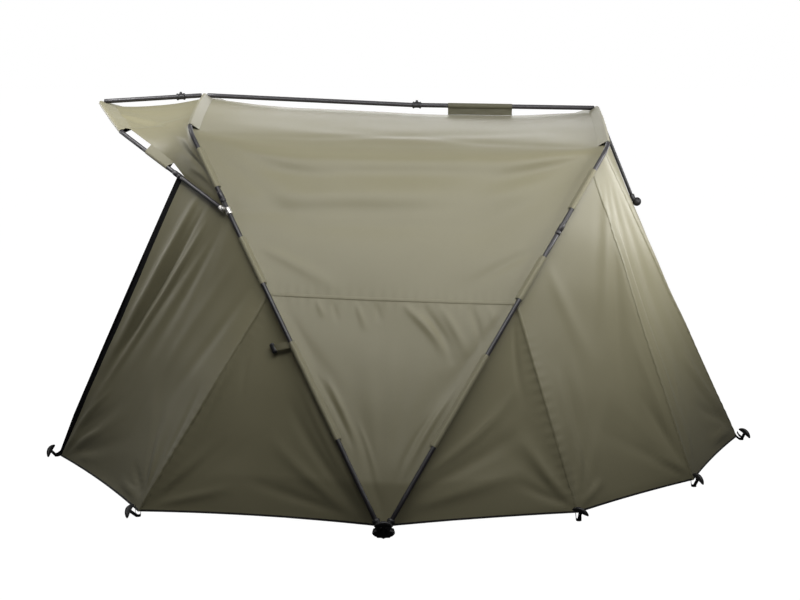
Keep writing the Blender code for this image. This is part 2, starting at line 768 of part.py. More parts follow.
# Clips that carry the hood rib on the front rib's legs.
def hood_clip(side):
    reach = CLIP_LENGTH / 2 / front.leg.length
    axis = [on_side(front.leg_point(CLIP_STATION + s), side) for s in (-reach, reach)]
    reference = front.normal
    bm = bmesh.new()
    tube_body(bm, axis, reference, CLIP_RADIUS, 0, FITTING_SIDES)
    made = finish(f"hood_clip_{side}", bm, metal)
    foot = HOOD_FOOT - GAP / hood.leg.length
    lug = [on_side(hood.leg_point(s), side) for s in (foot - LUG_LENGTH / hood.leg.length, foot)]
    bm = bmesh.new()
    tube_body(bm, lug, reference, LUG_RADIUS, 0, FITTING_SIDES)
    guide(made, "UNION", f"clip_lug_{side}", bm)
    bm = bmesh.new()
    bore = [axis[0] * 1.5 - axis[1] * 0.5, axis[1] * 1.5 - axis[0] * 0.5]
    tube_body(bm, bore, reference, TUBE_RADIUS + GAP, 0, FITTING_SIDES)
    guide(made, "DIFFERENCE", f"clip_bore_{side}", bm)


for side in SIDES:
    hood_clip(side)


# Ground pegs: an anchor-shaped head on a leaning stem, cut off level with the ground.
def peg_outline():
    stem = (PEG_STEM_WIDTH / 2, -PEG_IN_GROUND)
    under = []
    over = []
    for i in range(PEG_STEPS + 1):
        a = i / PEG_STEPS
        across = PEG_STEM_WIDTH / 2 + (PEG_HEAD_HALF - PEG_STEM_WIDTH / 2) * a
        fall = PEG_HEAD_RISE * (across / PEG_HEAD_HALF) ** 2
        depth = PEG_HEAD_DEPTH * (1 - a ** 2) + PEG_TIP_DEPTH
        top = PEG_STEM_LENGTH + PEG_CROWN - fall
        over.append((across, top))
        under.append((across, top - depth))
    right = [stem, *under, *reversed(over)]
    left = [(-x, y) for x, y in reversed(right)]
    return right + left


def peg_ways(azimuth, lean, roll):
    # the head's direction and the stem's direction
    azimuth, lean, roll = (math.radians(angle) for angle in (azimuth, lean, roll))
    tangent = Vector((-math.sin(azimuth), math.cos(azimuth), 0))
    rise = Vector((tangent.y * math.sin(lean), -tangent.x * math.sin(lean), math.cos(lean)))
    return tangent * math.cos(roll) + rise.cross(tangent) * math.sin(roll), rise


def add_peg(bm, base, head, rise):
    depth = head.cross(rise)
    outline = peg_outline()
    layers = []
    for shift in (-0.5, 0.5):
        offset = base + depth * (shift * PEG_THICKNESS)
        layers.append([bm.verts.new(offset + head * x + rise * y) for x, y in outline])
    low, high = layers
    faces = [bm.faces.new(low), bm.faces.new(list(reversed(high)))]
    count = len(outline)
    for i in range(count):
        j = (i + 1) % count
        faces.append(bm.faces.new((low[i], low[j], high[j], high[i])))
    geometry = low + high + faces + list({e for f in faces for e in f.edges})
    cut = bmesh.ops.bisect_plane(
        bm, geom=geometry, plane_co=(0, 0, 0), plane_no=(0, 0, -1), clear_outer=True
    )
    rim = [e for e in cut["geom_cut"] if isinstance(e, bmesh.types.BMEdge)]
    bmesh.ops.edgeloop_fill(bm, edges=rim)


def add_loop(bm, start, end):
    # a flat webbing strap on the ground, narrow at the hem
    way = (end - start).normalized()
    up = Vector((0, 0, LOOP_THICKNESS / 2))
    rings = []
    for spot, width in ((start, LOOP_START_WIDTH), (end, LOOP_WIDTH)):
        across = Vector((-way.y, way.x, 0)) * (width / 2)
        ring = (spot - across - up, spot + across - up, spot + across + up, spot - across + up)
        rings.append([bm.verts.new(corner) for corner in ring])
    low, high = rings
    bm.faces.new(list(reversed(low)))
    bm.faces.new(high)
    for i in range(4):
        j = (i + 1) % 4
        bm.faces.new((low[i], low[j], high[j], high[i]))


def ground_pegs(side):
    corners = {
        "door": door_band_grid()[0][-1],
        "front_side": front_side,
        "rear_side": rear_side,
        "rear_corner": rear_corner,
        "rear_end": rear_end,
    }
    for name, (spot, gap, *angles) in PEG_SETS.items():
        base = Vector((*spot, 0))
        bm = bmesh.new()
        add_peg(bm, on_side(base, side), *(on_side(way, side) for way in peg_ways(*angles)))
        made = finish(f"peg_{name}_{side}", bm, black)
        start = Vector((corners[name].x, corners[name].y, LOOP_HEIGHT))
        end = base + Vector((0, 0, LOOP_HEIGHT))
        start += (end - start).normalized() * gap
        bm = bmesh.new()
        add_loop(bm, on_side(start, side), on_side(end, side))
        guide(made, "UNION", f"peg_loop_{name}_{side}", bm)


# Pivot blocks: a low block on the ground with a socket towards each leg, held down by its own peg.
def pivot_block(side):
    centre = Vector((0, -PIVOT_HALF_WIDTH, BLOCK_SIZE[2] / 2))
    bm = bmesh.new()
    box_body(bm, on_side(centre, side), BLOCK_SIZE)
    bmesh.ops.bevel(bm, geom=list(bm.edges), offset=EDGE_ROUND, segments=2, affect="EDGES")
    made = finish(f"pivot_block_{side}", bm, black)
    for name, rib in (("front", front), ("rear", rear)):
        foot = rib.leg_point(RIB_FOOT - GAP / BEND_REACH)
        along = (rib.leg_point(1) - rib.leg_point(0)).normalized()
        bm = bmesh.new()
        ends = [on_side(foot - along * SOCKET_LENGTH, side), on_side(foot, side)]
        tube_body(bm, ends, Vector((1, 0, 0)), SOCKET_RADIUS, 0, FITTING_SIDES)
        guide(made, "UNION", f"pivot_socket_{name}_{side}", bm)
    bm = bmesh.new()
    base = Vector((0, -PIVOT_HALF_WIDTH - BLOCK_SIZE[1] / 2, BLOCK_PEG_BASE))
    add_peg(bm, on_side(base, side), *(on_side(way, side) for way in peg_ways(-90, BLOCK_PEG_LEAN, 0)))
    guide(made, "UNION", f"pivot_peg_{side}", bm)


for side in SIDES:
    ground_pegs(side)
    pivot_block(side)


# Ridge patch: a cloth web that hangs from the ridge pole to the roof.
def ridge_patch():
    first, last = PATCH_SPAN
    steps = 6
    top = []
    low = []
    middle = roof_grid[ARCH_STEPS // 2]
    slope = (rear_run[2].z - lock_spot.z) / (rear_run[2].x - lock_spot.x)
    for i in range(steps + 1):
        x = first + (last - first) * i / steps
        top.append(lock_spot.z + slope * (x - lock_spot.x) - RIDGE_RADIUS - GAP)
        hit = cover.tree.ray_cast(Vector((x, RAY_ASIDE, 2)), Vector((0, 0, -1)))[0]
        low.append(hit.z + CLOTH / 2 + PATCH_STAND_OFF)
    bm = bmesh.new()
    rows = []
    for y in (-CLOTH / 2, CLOTH / 2):
        upper = [bm.verts.new((first + (last - first) * i / steps, y, top[i])) for i in range(steps + 1)]
        lower = [bm.verts.new((first + (last - first) * i / steps, y, low[i])) for i in range(steps + 1)]
        rows.append((upper, lower))
    (ua, la), (ub, lb) = rows
    for i in range(steps):
        bm.faces.new((ua[i], ua[i + 1], la[i + 1], la[i]))
        bm.faces.new((ub[i], lb[i], lb[i + 1], ub[i + 1]))
        bm.faces.new((ua[i], ub[i], ub[i + 1], ua[i + 1]))
        bm.faces.new((la[i], la[i + 1], lb[i + 1], lb[i]))
    for i in (0, -1):
        bm.faces.new((ua[i], la[i], lb[i], ub[i]))
    finish("ridge_patch", bm, cloth)


ridge_patch()


# Side toggles: a short moulded bar that lies on the gusset beside each front leg.
def side_toggle(side):
    probe = front.leg_point(TOGGLE_STATION) + Vector(TOGGLE_ASIDE)
    hit, normal, index, distance = cover.tree.find_nearest(probe)
    up = (front.leg_point(1) - front.leg_point(0)).normalized()
    out = on_side(normal, side).normalized()
    along = on_side(up, side)
    along = (along - out * along.dot(out)).normalized()
    centre = on_side(hit, side) + out * (CLOTH / 2 + TOGGLE_STAND_OFF + TOGGLE_SIZE[2] / 2)
    bm = bmesh.new()
    box_body(bm, centre, TOGGLE_SIZE, (out.cross(along), along, out))
    bmesh.ops.bevel(bm, geom=list(bm.edges), offset=EDGE_ROUND, segments=2, affect="EDGES")
    finish(f"side_toggle_{side}", bm, black)


for side in SIDES:
    side_toggle(side)
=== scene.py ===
import math
from types import SimpleNamespace

import bmesh
import bpy
import numpy as np
from mathutils import Matrix, Vector
from mathutils.bvhtree import BVHTree


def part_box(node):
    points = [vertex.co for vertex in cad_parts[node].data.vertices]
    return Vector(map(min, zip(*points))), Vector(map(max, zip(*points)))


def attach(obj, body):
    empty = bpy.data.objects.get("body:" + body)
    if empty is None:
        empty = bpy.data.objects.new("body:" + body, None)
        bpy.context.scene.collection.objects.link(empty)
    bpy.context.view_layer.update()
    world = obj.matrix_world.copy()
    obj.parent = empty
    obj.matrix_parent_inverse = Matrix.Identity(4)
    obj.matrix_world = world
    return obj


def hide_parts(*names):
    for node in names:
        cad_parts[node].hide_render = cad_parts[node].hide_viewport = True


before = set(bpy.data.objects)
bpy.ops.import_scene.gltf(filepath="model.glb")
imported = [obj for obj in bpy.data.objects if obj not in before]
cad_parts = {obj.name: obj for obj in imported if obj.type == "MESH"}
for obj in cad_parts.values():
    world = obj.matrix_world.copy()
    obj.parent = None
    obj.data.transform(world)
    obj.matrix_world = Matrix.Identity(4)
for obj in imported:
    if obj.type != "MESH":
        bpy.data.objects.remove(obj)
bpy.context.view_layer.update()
print("stage: frame loaded")

# The tent's own shape, in metres and degrees: the hood faces -X, the left side is at -Y.
tent = SimpleNamespace(**{
    "pivotX": -0.0729,
    "pivotHeight": 0.05,
    "pivotHalf": 1.40,
    "footSpread": 0.023,
    "bendHalf": 0.74,
    "bendReach": 1.415,
    "frontApexReach": 1.516,
    "rearApexReach": 1.534,
    "bendRadius": 0.09,
    "archBulge": 0.006,
    "frontTilt": -28.7,
    "rearTilt": 33.6,
    "clipStation": 0.775,
    "hoodClipOut": 0.016,
    "hoodClipRise": 0.004,
    "hoodBend": (-1.0065, 0.43, 1.2577),
    "hoodTip": (-1.180, 0.0, 1.349),
    "hoodBendRadius": 0.08,
    "hoodBulge": 0.004,
    "apexBlend": 0.10,
    "ridgeLock": (0.106, 1.341),
    "frontLockX": -0.849,
    "apexRise": 0.001,
    "tipRise": 0.006,
})

sides = {"left": -1.0, "right": 1.0}
white = (1.0, 1.0, 1.0, 1.0)
tiny = 1e-12


def even(first, last, steps):
    return [first + (last - first) * i / steps for i in range(steps + 1)]


def atPivot(x, y, z):
    return Vector((x + tent.pivotX, y, z))


def mirrored(point):
    return Vector((point.x, -point.y, point.z))


def onSide(point, side):
    return Vector((point.x, point.y * -sides[side], point.z))


def unit(vectors):
    return vectors / np.maximum(np.linalg.norm(vectors, axis=-1, keepdims=True), tiny)


def facing(vector, way):
    # the vector or its opposite, whichever points the given way
    return vector if vector @ way >= 0 else -vector


def runOf(points, axis=0):
    # the distance run along a line of points, or along one axis of a grid
    sizes = np.linalg.norm(np.diff(points, axis=axis), axis=-1)
    return np.concatenate([0 * sizes.take([0], axis=axis), np.cumsum(sizes, axis=axis)], axis=axis)


class Hoop:
    # straight legs, rounded bends and two low slopes that meet at the apex; half is measured from the
    # middle and reach from the feet
    def __init__(self, origin, forward, footHalf, bend, length, bendRadius, bulge):
        self.origin = origin
        self.forward = forward
        self.normal = forward.cross(Vector((0, 1, 0)))
        self.foot = Vector((footHalf, 0.0))
        self.bend = bend
        self.length = length
        self.leg = bend - self.foot
        self.arch = Vector((0, length)) - bend
        self.archOut = Vector((self.arch.y, -self.arch.x)).normalized()
        self.archAngle = math.atan2(self.archOut.x, self.archOut.y)
        self.bulge = bulge
        self.bendRadius = bendRadius
        self.turn = self.leg.angle(self.arch + self.archOut * (4 * bulge))
        self.trim = bendRadius * math.tan(self.turn / 2)

    def place(self, half, reach):
        return self.origin + self.forward * reach + Vector((0, -half, 0))

    def legPoint(self, share, drop=0.0):
        along = self.leg.normalized()
        spot = self.foot + self.leg * share + Vector((-along.y, along.x)) * drop
        return self.place(spot.x, spot.y)

    def halfPath(self, drop=0.0, bendSteps=16, archSteps=90):
        # the left half as flat spots, from the foot to the apex
        along = self.leg.normalized()
        inward = Vector((-along.y, along.x))
        centre = self.bend - along * self.trim + inward * self.bendRadius
        spots = [self.foot + inward * drop]
        for a in even(0, self.turn, bendSteps):
            spots.append(centre + (along * math.sin(a) - inward * math.cos(a)) * (self.bendRadius - drop))
        for s in even(1 - self.trim / self.arch.length, 0, archSteps)[1:]:
            lean = min(1.0, s / tent.apexBlend)
            out = Vector((self.archOut.x * lean, self.archOut.y)).normalized()
            swell = self.archOut * (4 * s * (1 - s) * self.bulge)
            spots.append(self.bend + self.arch * (1 - s) + swell - out * drop)
        return spots

    def bendDistance(self, drop=0.0):
        # from the foot to the middle of the bend
        return self.leg.length - self.trim + (self.bendRadius - drop) * self.turn / 2

    def archDistance(self, share, drop=0.0):
        half = self.halfPath(drop)
        total = sum((b - a).length for a, b in zip(half, half[1:]))
        return total - self.arch.length * share

    def along(self, distances, drop=0.0):
        # points at these distances from the left foot, on the hoop's inner side; the right half is mirrored
        flat = np.array([[p.x, p.y] for p in self.halfPath(drop)])
        run = runOf(flat)
        distances = np.asarray(distances, float)
        back = np.where(distances > run[-1], 2 * run[-1] - distances, distances)
        sign = np.where(distances > run[-1], -1.0, 1.0)
        x = np.interp(back, run, flat[:, 0]) * sign
        y = np.interp(back, run, flat[:, 1])
        origin, forward = np.array(self.origin), np.array(self.forward)
        return origin + forward * y[:, None] + np.stack([0 * x, -x, 0 * x], axis=1)

    def inward(self, angles):
        # directions towards the inside, by their angle from the hoop's own upright
        angles = np.asarray(angles, float)
        across = np.stack([0 * angles, np.sin(angles), 0 * angles], axis=1)
        return across - np.array(self.forward) * np.cos(angles)[:, None]


def mainRib(tilt, footX, apexReach):
    tilt = math.radians(tilt)
    forward = Vector((math.sin(tilt), 0, math.cos(tilt)))
    origin = atPivot(footX, 0, tent.pivotHeight)
    bend = Vector((tent.bendHalf, tent.bendReach))
    return Hoop(origin, forward, tent.pivotHalf, bend, apexReach, tent.bendRadius, tent.archBulge)


def hoodHoop():
    clip = front.legPoint(tent.clipStation) + Vector((-tent.hoodClipOut, 0, tent.hoodClipRise))
    origin = Vector((clip.x, 0, clip.z))
    tip = atPivot(*tent.hoodTip) - origin
    forward = tip.normalized()
    bend = atPivot(*tent.hoodBend) - origin
    flat = Vector((tent.hoodBend[1], bend.dot(forward)))
    return Hoop(origin, forward, -clip.y, flat, tip.length, tent.hoodBendRadius, tent.hoodBulge)


front = mainRib(tent.frontTilt, -tent.footSpread, tent.frontApexReach)
rear = mainRib(tent.rearTilt, tent.footSpread, tent.rearApexReach)
hood = hoodHoop()


# Shader groups that several finishes share.
def newGroup(name, inputs, outputs):
    group = bpy.data.node_groups.new(name, "ShaderNodeTree")
    for socket, value in inputs.items():
        made = group.interface.new_socket(socket, in_out="INPUT", socket_type="NodeSocketFloat")
        made.default_value = value
    for socket, kind in outputs.items():
        group.interface.new_socket(socket, in_out="OUTPUT", socket_type=kind)
    start = group.nodes.new("NodeGroupInput")
    end = group.nodes.new("NodeGroupOutput")
    return group, start, end


def addNode(tree, kind, settings=(), **inputs):
    # inputs are plain values, or outputs of other nodes that are linked in
    node = tree.nodes.new(kind)
    for name, value in dict(settings).items():
        setattr(node, name, value)
    for name, value in inputs.items():
        setInput(tree, node.inputs[name.replace("_", " ")], value)
    return node


def setInput(tree, socket, value):
    if isinstance(value, bpy.types.NodeSocket):
        tree.links.new(value, socket)
    else:
        socket.default_value = value


def addMath(tree, operation, *values):
    node = addNode(tree, "ShaderNodeMath", {"operation": operation})
    for socket, value in zip(node.inputs, values):
        setInput(tree, socket, value)
    return node.outputs[0]


def addNoise(tree, vector, scale, detail=4.0, roughness=0.5):
    node = addNode(tree, "ShaderNodeTexNoise", Vector=vector, Scale=scale, Detail=detail, Roughness=roughness)
    return node.outputs["Fac"]


def weaveGroup():
    # crossed threads on the cloth's own metres, with uneven yarn
    group, start, end = newGroup(
        "crossedThreads",
        {"ThreadsPerMetre": 600.0, "Unevenness": 0.35},
        {"Height": "NodeSocketFloat", "Shade": "NodeSocketFloat"},
    )
    uv = addNode(group, "ShaderNodeUVMap", {"uv_map": "metres"}).outputs["UV"]
    perMetre = start.outputs["ThreadsPerMetre"]
    # a wave texture's scale of 1 has a period of a little over 0.3 units
    scale = addMath(group, "MULTIPLY", perMetre, 0.314)
    waves = []
    for direction in ("X", "Y"):
        wave = addNode(group, "ShaderNodeTexWave", {"bands_direction": direction}, Vector=uv, Scale=scale,
                       Distortion=0.6, Detail=1.0)
        waves.append(wave.outputs["Fac"])
    threads = addMath(group, "MAXIMUM", *waves)
    yarn = addNoise(group, uv, addMath(group, "MULTIPLY", perMetre, 0.25), 3.0)
    rough = addMath(group, "MULTIPLY", yarn, start.outputs["Unevenness"])
    shade = addMath(group, "MULTIPLY", threads, 0.5)
    group.links.new(addMath(group, "ADD", threads, rough), end.inputs["Height"])
    group.links.new(addMath(group, "ADD", shade, rough), end.inputs["Shade"])
    return group


def toneGroup():
    # slow changes of tone over metres and small cloudy ones over centimetres
    group, start, end = newGroup(
        "cloudyTone", {"Slow": 1.6, "Fine": 22.0, "Strength": 0.12}, {"Tone": "NodeSocketFloat"}
    )
    where = addNode(group, "ShaderNodeTexCoord").outputs["Object"]
    slow = addNoise(group, where, start.outputs["Slow"], 3.0)
    fine = addNoise(group, where, start.outputs["Fine"], 5.0, 0.6)
    slow, fine = addMath(group, "MULTIPLY", slow, 0.6), addMath(group, "MULTIPLY", fine, 0.4)
    mixed = addMath(group, "ADD", slow, fine)
    centred = addMath(group, "MULTIPLY", addMath(group, "SUBTRACT", mixed, 0.5), start.outputs["Strength"])
    group.links.new(addMath(group, "ADD", centred, 1.0), end.inputs["Tone"])
    return group


weave = weaveGroup()
tone = toneGroup()


def newMaterial(name, roughness, metallic=0.0, **sockets):
    made = bpy.data.materials.new(name)
    made.use_nodes = True
    shader = made.node_tree.nodes["Principled BSDF"]
    shader.inputs["Roughness"].default_value = roughness
    shader.inputs["Metallic"].default_value = metallic
    for socket, value in sockets.items():
        shader.inputs[socket.replace("_", " ")].default_value = value
    return made, made.node_tree, shader


def tinted(tree, colour, factor):
    # the colour times a changing factor
    settings = {"data_type": "RGBA", "blend_type": "MULTIPLY"}
    return addNode(tree, "ShaderNodeMix", settings, Factor=1.0, A=(*colour, 1.0), B=factor).outputs["Result"]


def addBump(tree, shader, height, strength, depth):
    bump = addNode(tree, "ShaderNodeBump", Strength=strength, Distance=depth, Height=height)
    tree.links.new(bump.outputs["Normal"], shader.inputs["Normal"])


def clothMaterial(name, colour, roughness, threads, depth, toneStrength, sheen, gloss=0.42):
    made, tree, shader = newMaterial(
        name, roughness, Sheen_Weight=sheen, Sheen_Roughness=0.45, Specular_IOR_Level=gloss
    )
    threadNode = addNode(tree, "ShaderNodeGroup", {"node_tree": weave}, ThreadsPerMetre=threads)
    toneNode = addNode(tree, "ShaderNodeGroup", {"node_tree": tone}, Strength=toneStrength)
    shade = addMath(tree, "ADD", addMath(tree, "MULTIPLY", threadNode.outputs["Shade"], 0.16), 0.88)
    factor = addMath(tree, "MULTIPLY", shade, toneNode.outputs["Tone"])
    tree.links.new(tinted(tree, colour, factor), shader.inputs["Base Color"])
    addBump(tree, shader, threadNode.outputs["Height"], 0.35, depth)
    return made


def hardMaterial(name, colour, roughness, metallic, grainScale, grainDepth, toneStrength=0.25, **sockets):
    made, tree, shader = newMaterial(name, roughness, metallic, **sockets)
    toneNode = addNode(tree, "ShaderNodeGroup", {"node_tree": tone}, Slow=9.0, Fine=140.0,
                       Strength=toneStrength)
    tree.links.new(tinted(tree, colour, toneNode.outputs["Tone"]), shader.inputs["Base Color"])
    where = addNode(tree, "ShaderNodeTexCoord").outputs["Object"]
    grain = addNoise(tree, where, grainScale, 6.0, 0.6)
    rough = addMath(tree, "ADD", addMath(tree, "MULTIPLY", grain, 0.16), roughness - 0.08)
    tree.links.new(rough, shader.inputs["Roughness"])
    addBump(tree, shader, grain, 0.3, grainDepth)
    return made


finishes = {
    "cloth": clothMaterial("oliveCoatedCloth", (0.188, 0.173, 0.104), 0.48, 620.0, 0.00018, 0.10, 0.10),
    # a darker copy of the cloth: painted shade for the ridge web's face
    "clothBack": clothMaterial("oliveClothBack", (0.085, 0.080, 0.047), 0.62, 620.0, 0.00018, 0.10, 0.06),
    "sleeve": clothMaterial("oliveSleeveCloth", (0.196, 0.181, 0.112), 0.56, 520.0, 0.00028, 0.14, 0.16),
    "band": clothMaterial("blackWebbing", (0.004, 0.0038, 0.0043), 0.82, 420.0, 0.0004, 0.30, 0.0, 0.12),
    "hem": clothMaterial("darkHemTape", (0.014, 0.013, 0.011), 0.66, 480.0, 0.0003, 0.25, 0.12),
    "thread": hardMaterial("oliveThread", (0.12, 0.11, 0.08), 0.62, 0.0, 2400.0, 0.00005),
    "pole": hardMaterial("satinDarkPole", (0.022, 0.020, 0.023), 0.42, 0.0, 420.0, 0.00004, Coat_Weight=0.10),
    "clip": hardMaterial("brightCastClip", (0.74, 0.72, 0.69), 0.34, 0.9, 600.0, 0.00005, 0.10),
    "moulding": hardMaterial("blackNylon", (0.014, 0.0135, 0.015), 0.46, 0.0, 700.0, 0.00006),
}
print("stage: finishes made")


def newObject(name, data):
    made = bpy.data.objects.new(name, data)
    bpy.context.scene.collection.objects.link(made)
    return made


# Meshes from arrays of points.
def newPiece(name, points, faces, finish, uvs, smoothAngle):
    # uvs holds one pair of metres for each face corner, in the order of the faces
    mesh = bpy.data.meshes.new(name)
    mesh.from_pydata([tuple(p) for p in points], [], [tuple(f) for f in faces])
    mesh.uv_layers.new(name="metres").data.foreach_set("uv", np.asarray(uvs, np.float32).ravel())
    mesh.materials.append(finishes[finish])
    mesh.shade_smooth()
    mesh.set_sharp_from_angle(angle=math.radians(smoothAngle))
    mesh.validate()
    return newObject(name, mesh)


def facesOutward(piece):
    bm = bmesh.new()
    bm.from_mesh(piece.data)
    bmesh.ops.recalc_face_normals(bm, faces=bm.faces)
    bm.to_mesh(piece.data)
    bm.free()
    return piece


def addPiece(piece, slot, *nodes):
    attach(piece, "root")
    if nodes:
        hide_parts(*nodes)
    return piece


def mirrorPiece(piece, name):
    mesh = piece.data.copy()
    mesh.name = name
    mesh.transform(Matrix.Scale(-1, 4, Vector((0, 1, 0))))
    mesh.flip_normals()
    return newObject(name, mesh)


def addMirrored(left, slot, node=None):
    # a left piece and its mirror image; node is the name of the nodes they stand for, without the side
    pair = [left, mirrorPiece(left, left.name.replace("left", "right"))]
    for piece, side in zip(pair, sides):
        addPiece(piece, slot, *([f"{node}_{side}"] if node else []))
    return pair


def sweepPiece(name, path, normals, profile, finish, scales=1.0, smoothAngle=40):
    # a closed outline carried along a path, with its two ends closed; profile is (across, outward)
    path = np.asarray([tuple(p) for p in path], float)
    count = len(path)
    tangents = unit(np.gradient(path, axis=0))
    normals = np.broadcast_to(np.asarray(normals, float), path.shape)
    normals = unit(normals - tangents * np.sum(tangents * normals, axis=1, keepdims=True))
    across = np.cross(tangents, normals)
    profiles = np.asarray(profile, float)
    if profiles.ndim == 2:
        profiles = np.tile(profiles, (count, 1, 1))
    profiles = profiles * np.broadcast_to(scales, count)[:, None, None]
    points = path[:, None] + across[:, None] * profiles[..., :1] + normals[:, None] * profiles[..., 1:]
    around = profiles.shape[1]
    lengths = runOf(path)
    girth = runOf(np.vstack([profiles[0], profiles[0][:1]]))
    faces, uvs = [], []
    for i in range(count - 1):
        for j in range(around):
            k = (j + 1) % around
            faces.append((i * around + j, i * around + k, (i + 1) * around + k, (i + 1) * around + j))
            uvs += [(lengths[i], girth[j]), (lengths[i], girth[j + 1])]
            uvs += [(lengths[i + 1], girth[j + 1]), (lengths[i + 1], girth[j])]
    for start, order in ((0, -1), ((count - 1) * around, 1)):
        ring = list(range(start, start + around))[::order]
        faces.append(tuple(ring))
        uvs += [tuple(profiles[0 if start == 0 else -1][v - start]) for v in ring]
    return facesOutward(newPiece(name, points.reshape(-1, 3), faces, finish, uvs, smoothAngle))


def circle(radius, count=24):
    return [(radius * math.cos(a), radius * math.sin(a)) for a in np.arange(count) * 2 * math.pi / count]


def roundedBox(width, height, radius, steps=3):
    outline = []
    corners = ((1, 1), (-1, 1), (-1, -1), (1, -1))
    for quarter, (sx, sy) in enumerate(corners):
        centre = (sx * (width / 2 - radius), sy * (height / 2 - radius))
        for i in range(steps + 1):
            a = math.pi / 2 * (quarter + i / steps)
            outline.append((centre[0] + radius * math.cos(a), centre[1] + radius * math.sin(a)))
    return outline


def joinPieces(name, pieces):
    # one mesh from several of the same finish
    bm = bmesh.new()
    for piece in pieces:
        bm.from_mesh(piece.data)
    mesh = bpy.data.meshes.new(name)
    bm.to_mesh(mesh)
    bm.free()
    mesh.materials.append(pieces[0].data.materials[0])
    for piece in pieces:
        bpy.data.objects.remove(piece, do_unlink=True)
    return newObject(name, mesh)


# The cover: one surface in panels that share their edges.
cover = SimpleNamespace(**{
    "refine": 12,
    "thickness": 0.0011,
    "legDrop": 0.0119,
    "clipDrop": 0.0160,
    "clipDropWidth": 0.02,
    "archDrop": 0.0134,
    "hoodDrop": 0.0145,
    "hoodEdgeStation": 0.40,
    "seamStation": 0.56,
    "rearSeamStation": 0.93,
    "hoodEdgeLift": 0.034,
    "hoodLifted": (0.36, 1.10),
    "hoodLiftRise": 1.6,
    "roofSag": 0.014,
    "bendSoftRows": 1.1,
    "bendSoftEdge": 0.3,
    "archTurnFrom": 0.75,
    "roofFall": 0.022,
    "sideSag": 0.030,
    "panelSag": 0.022,
    "cornerSag": 0.010,
    "wallSag": 0.003,
    "hoodSag": 0.016,
    "hemSag": 0.010,
    "gussetHemSag": 0.026,
    "frontHemSag": 0.014,
    "hemHeight": 0.001,
    "doorBand": 0.032,
    "doorFootShare": 0.5,
    "doorFootEnd": 0.15,
    "hemAtBlock": (0.020, -1.374, 0.026),
    "pegs": {
        "front": (-1.275, -0.545),
        "frontSide": (-0.853, -1.165),
        "rearSide": (0.670, -1.180),
        "rearCorner": (1.144, -0.835),
        "rear": (1.445, -0.285),
    },
})
refine = cover.refine
inside = np.array(atPivot(0.1, 0, 0.5))
rows = 6 * refine  # rows below the side seam, and as many above it
half = 3 * refine
archSteps = 12 * refine
spanSteps = 10 * refine
seamColumns = 4 * refine
gussetSteps = 5 * refine
mirror = np.array([1.0, -1.0, 1.0])


def smoothStep(x):
    x = np.clip(x, 0, 1)
    return x * x * (3 - 2 * x)


def straight(a, b, steps):
    return a + (b - a) * np.linspace(0, 1, steps + 1)[:, None]


def stationRun(stations):
    # even steps between each station and the next
    found = [stations[0]]
    for a, b in zip(stations, stations[1:]):
        found += even(a, b, refine)[1:]
    return np.array(found)


def legLine(hoop, shares, hemX):
    # from the hem beside the pivot block, up under the leg, to the middle of the bend
    length = hoop.leg.length
    stations = [s * length for s in shares] + [hoop.bendDistance(cover.legDrop)]
    run = stationRun(stations)
    points = hoop.along(run, cover.legDrop)
    leg = hoop.leg.normalized()
    inward = np.array(hoop.place(-leg.y, leg.x) - hoop.place(0, 0))
    if hoop is front:
        dip = np.exp(-((run / length - tent.clipStation) / cover.clipDropWidth) ** 2)
        points = points + inward * (dip * (cover.clipDrop - cover.legDrop))[:, None]
    points[-refine:] += (hoop.along([hoop.bendDistance(cover.archDrop)], cover.archDrop)[0] - points[-1]) * (
        np.linspace(0, 1, refine + 1)[1:, None]
    )
    foot = np.array(atPivot(hemX, *cover.hemAtBlock[1:]))
    return np.vstack([straight(foot, points[0], refine)[:-1], points])


def archLine(hoop):
    drop = cover.archDrop
    stations = [hoop.bendDistance(drop)]
    stations += [hoop.archDistance(1 - 2 * i / 12, drop) for i in range(1, 12)]
    total = 2 * hoop.archDistance(0, drop)
    stations.append(total - stations[0])
    return hoop.along(stationRun(stations), drop)


lowerShares = even(0.0, cover.seamStation, 6)[1:]
frontShares = lowerShares + even(cover.seamStation, tent.clipStation, 3)[1:]
frontShares += even(tent.clipStation, 1.0, 3)[1:-1]
rearShares = lowerShares + even(cover.seamStation, cover.rearSeamStation, 4)[1:]
rearShares += even(cover.rearSeamStation, 1.0, 2)[1:-1]
frontLine = legLine(front, frontShares, -cover.hemAtBlock[0])
rearLine = legLine(rear, rearShares, cover.hemAtBlock[0])
frontArch = archLine(front)
rearArch = archLine(rear)


def legInward(hoop):
    # square to the leg low down, and turning to the arch's own inward direction at the bend
    t = np.linspace(0, 1, 2 * rows + 1)
    blend = np.clip((t - cover.archTurnFrom) / (1 - cover.archTurnFrom), 0, 1) ** 2
    leg = hoop.leg.normalized()
    low = hoop.inward([math.atan2(leg.y, -leg.x)])
    top = hoop.inward([hoop.archAngle])
    return unit(low * (1 - blend[:, None]) + top * blend[:, None])


def span(startLine, endLine, startInward, endInward, sags, steps):
    u = np.linspace(0, 1, steps + 1)[None, :, None]
    inward = unit(startInward[:, None] * (1 - u) + endInward[:, None] * u)
    grid = startLine[:, None] * (1 - u) + endLine[:, None] * u
    return grid + inward * 4 * u * (1 - u) * np.asarray(sags)[:, None, None]


def hemCurve(a, b, steps, sag=None):
    # drawn in towards the inside between two pegs
    along = unit(b - a)
    towards = facing(np.array([-along[1], along[0], 0.0]), inside - (a + b) / 2)
    u = np.linspace(0, 1, steps + 1)[:, None]
    return straight(a, b, steps) + towards * 4 * u * (1 - u) * (sag or cover.hemSag)


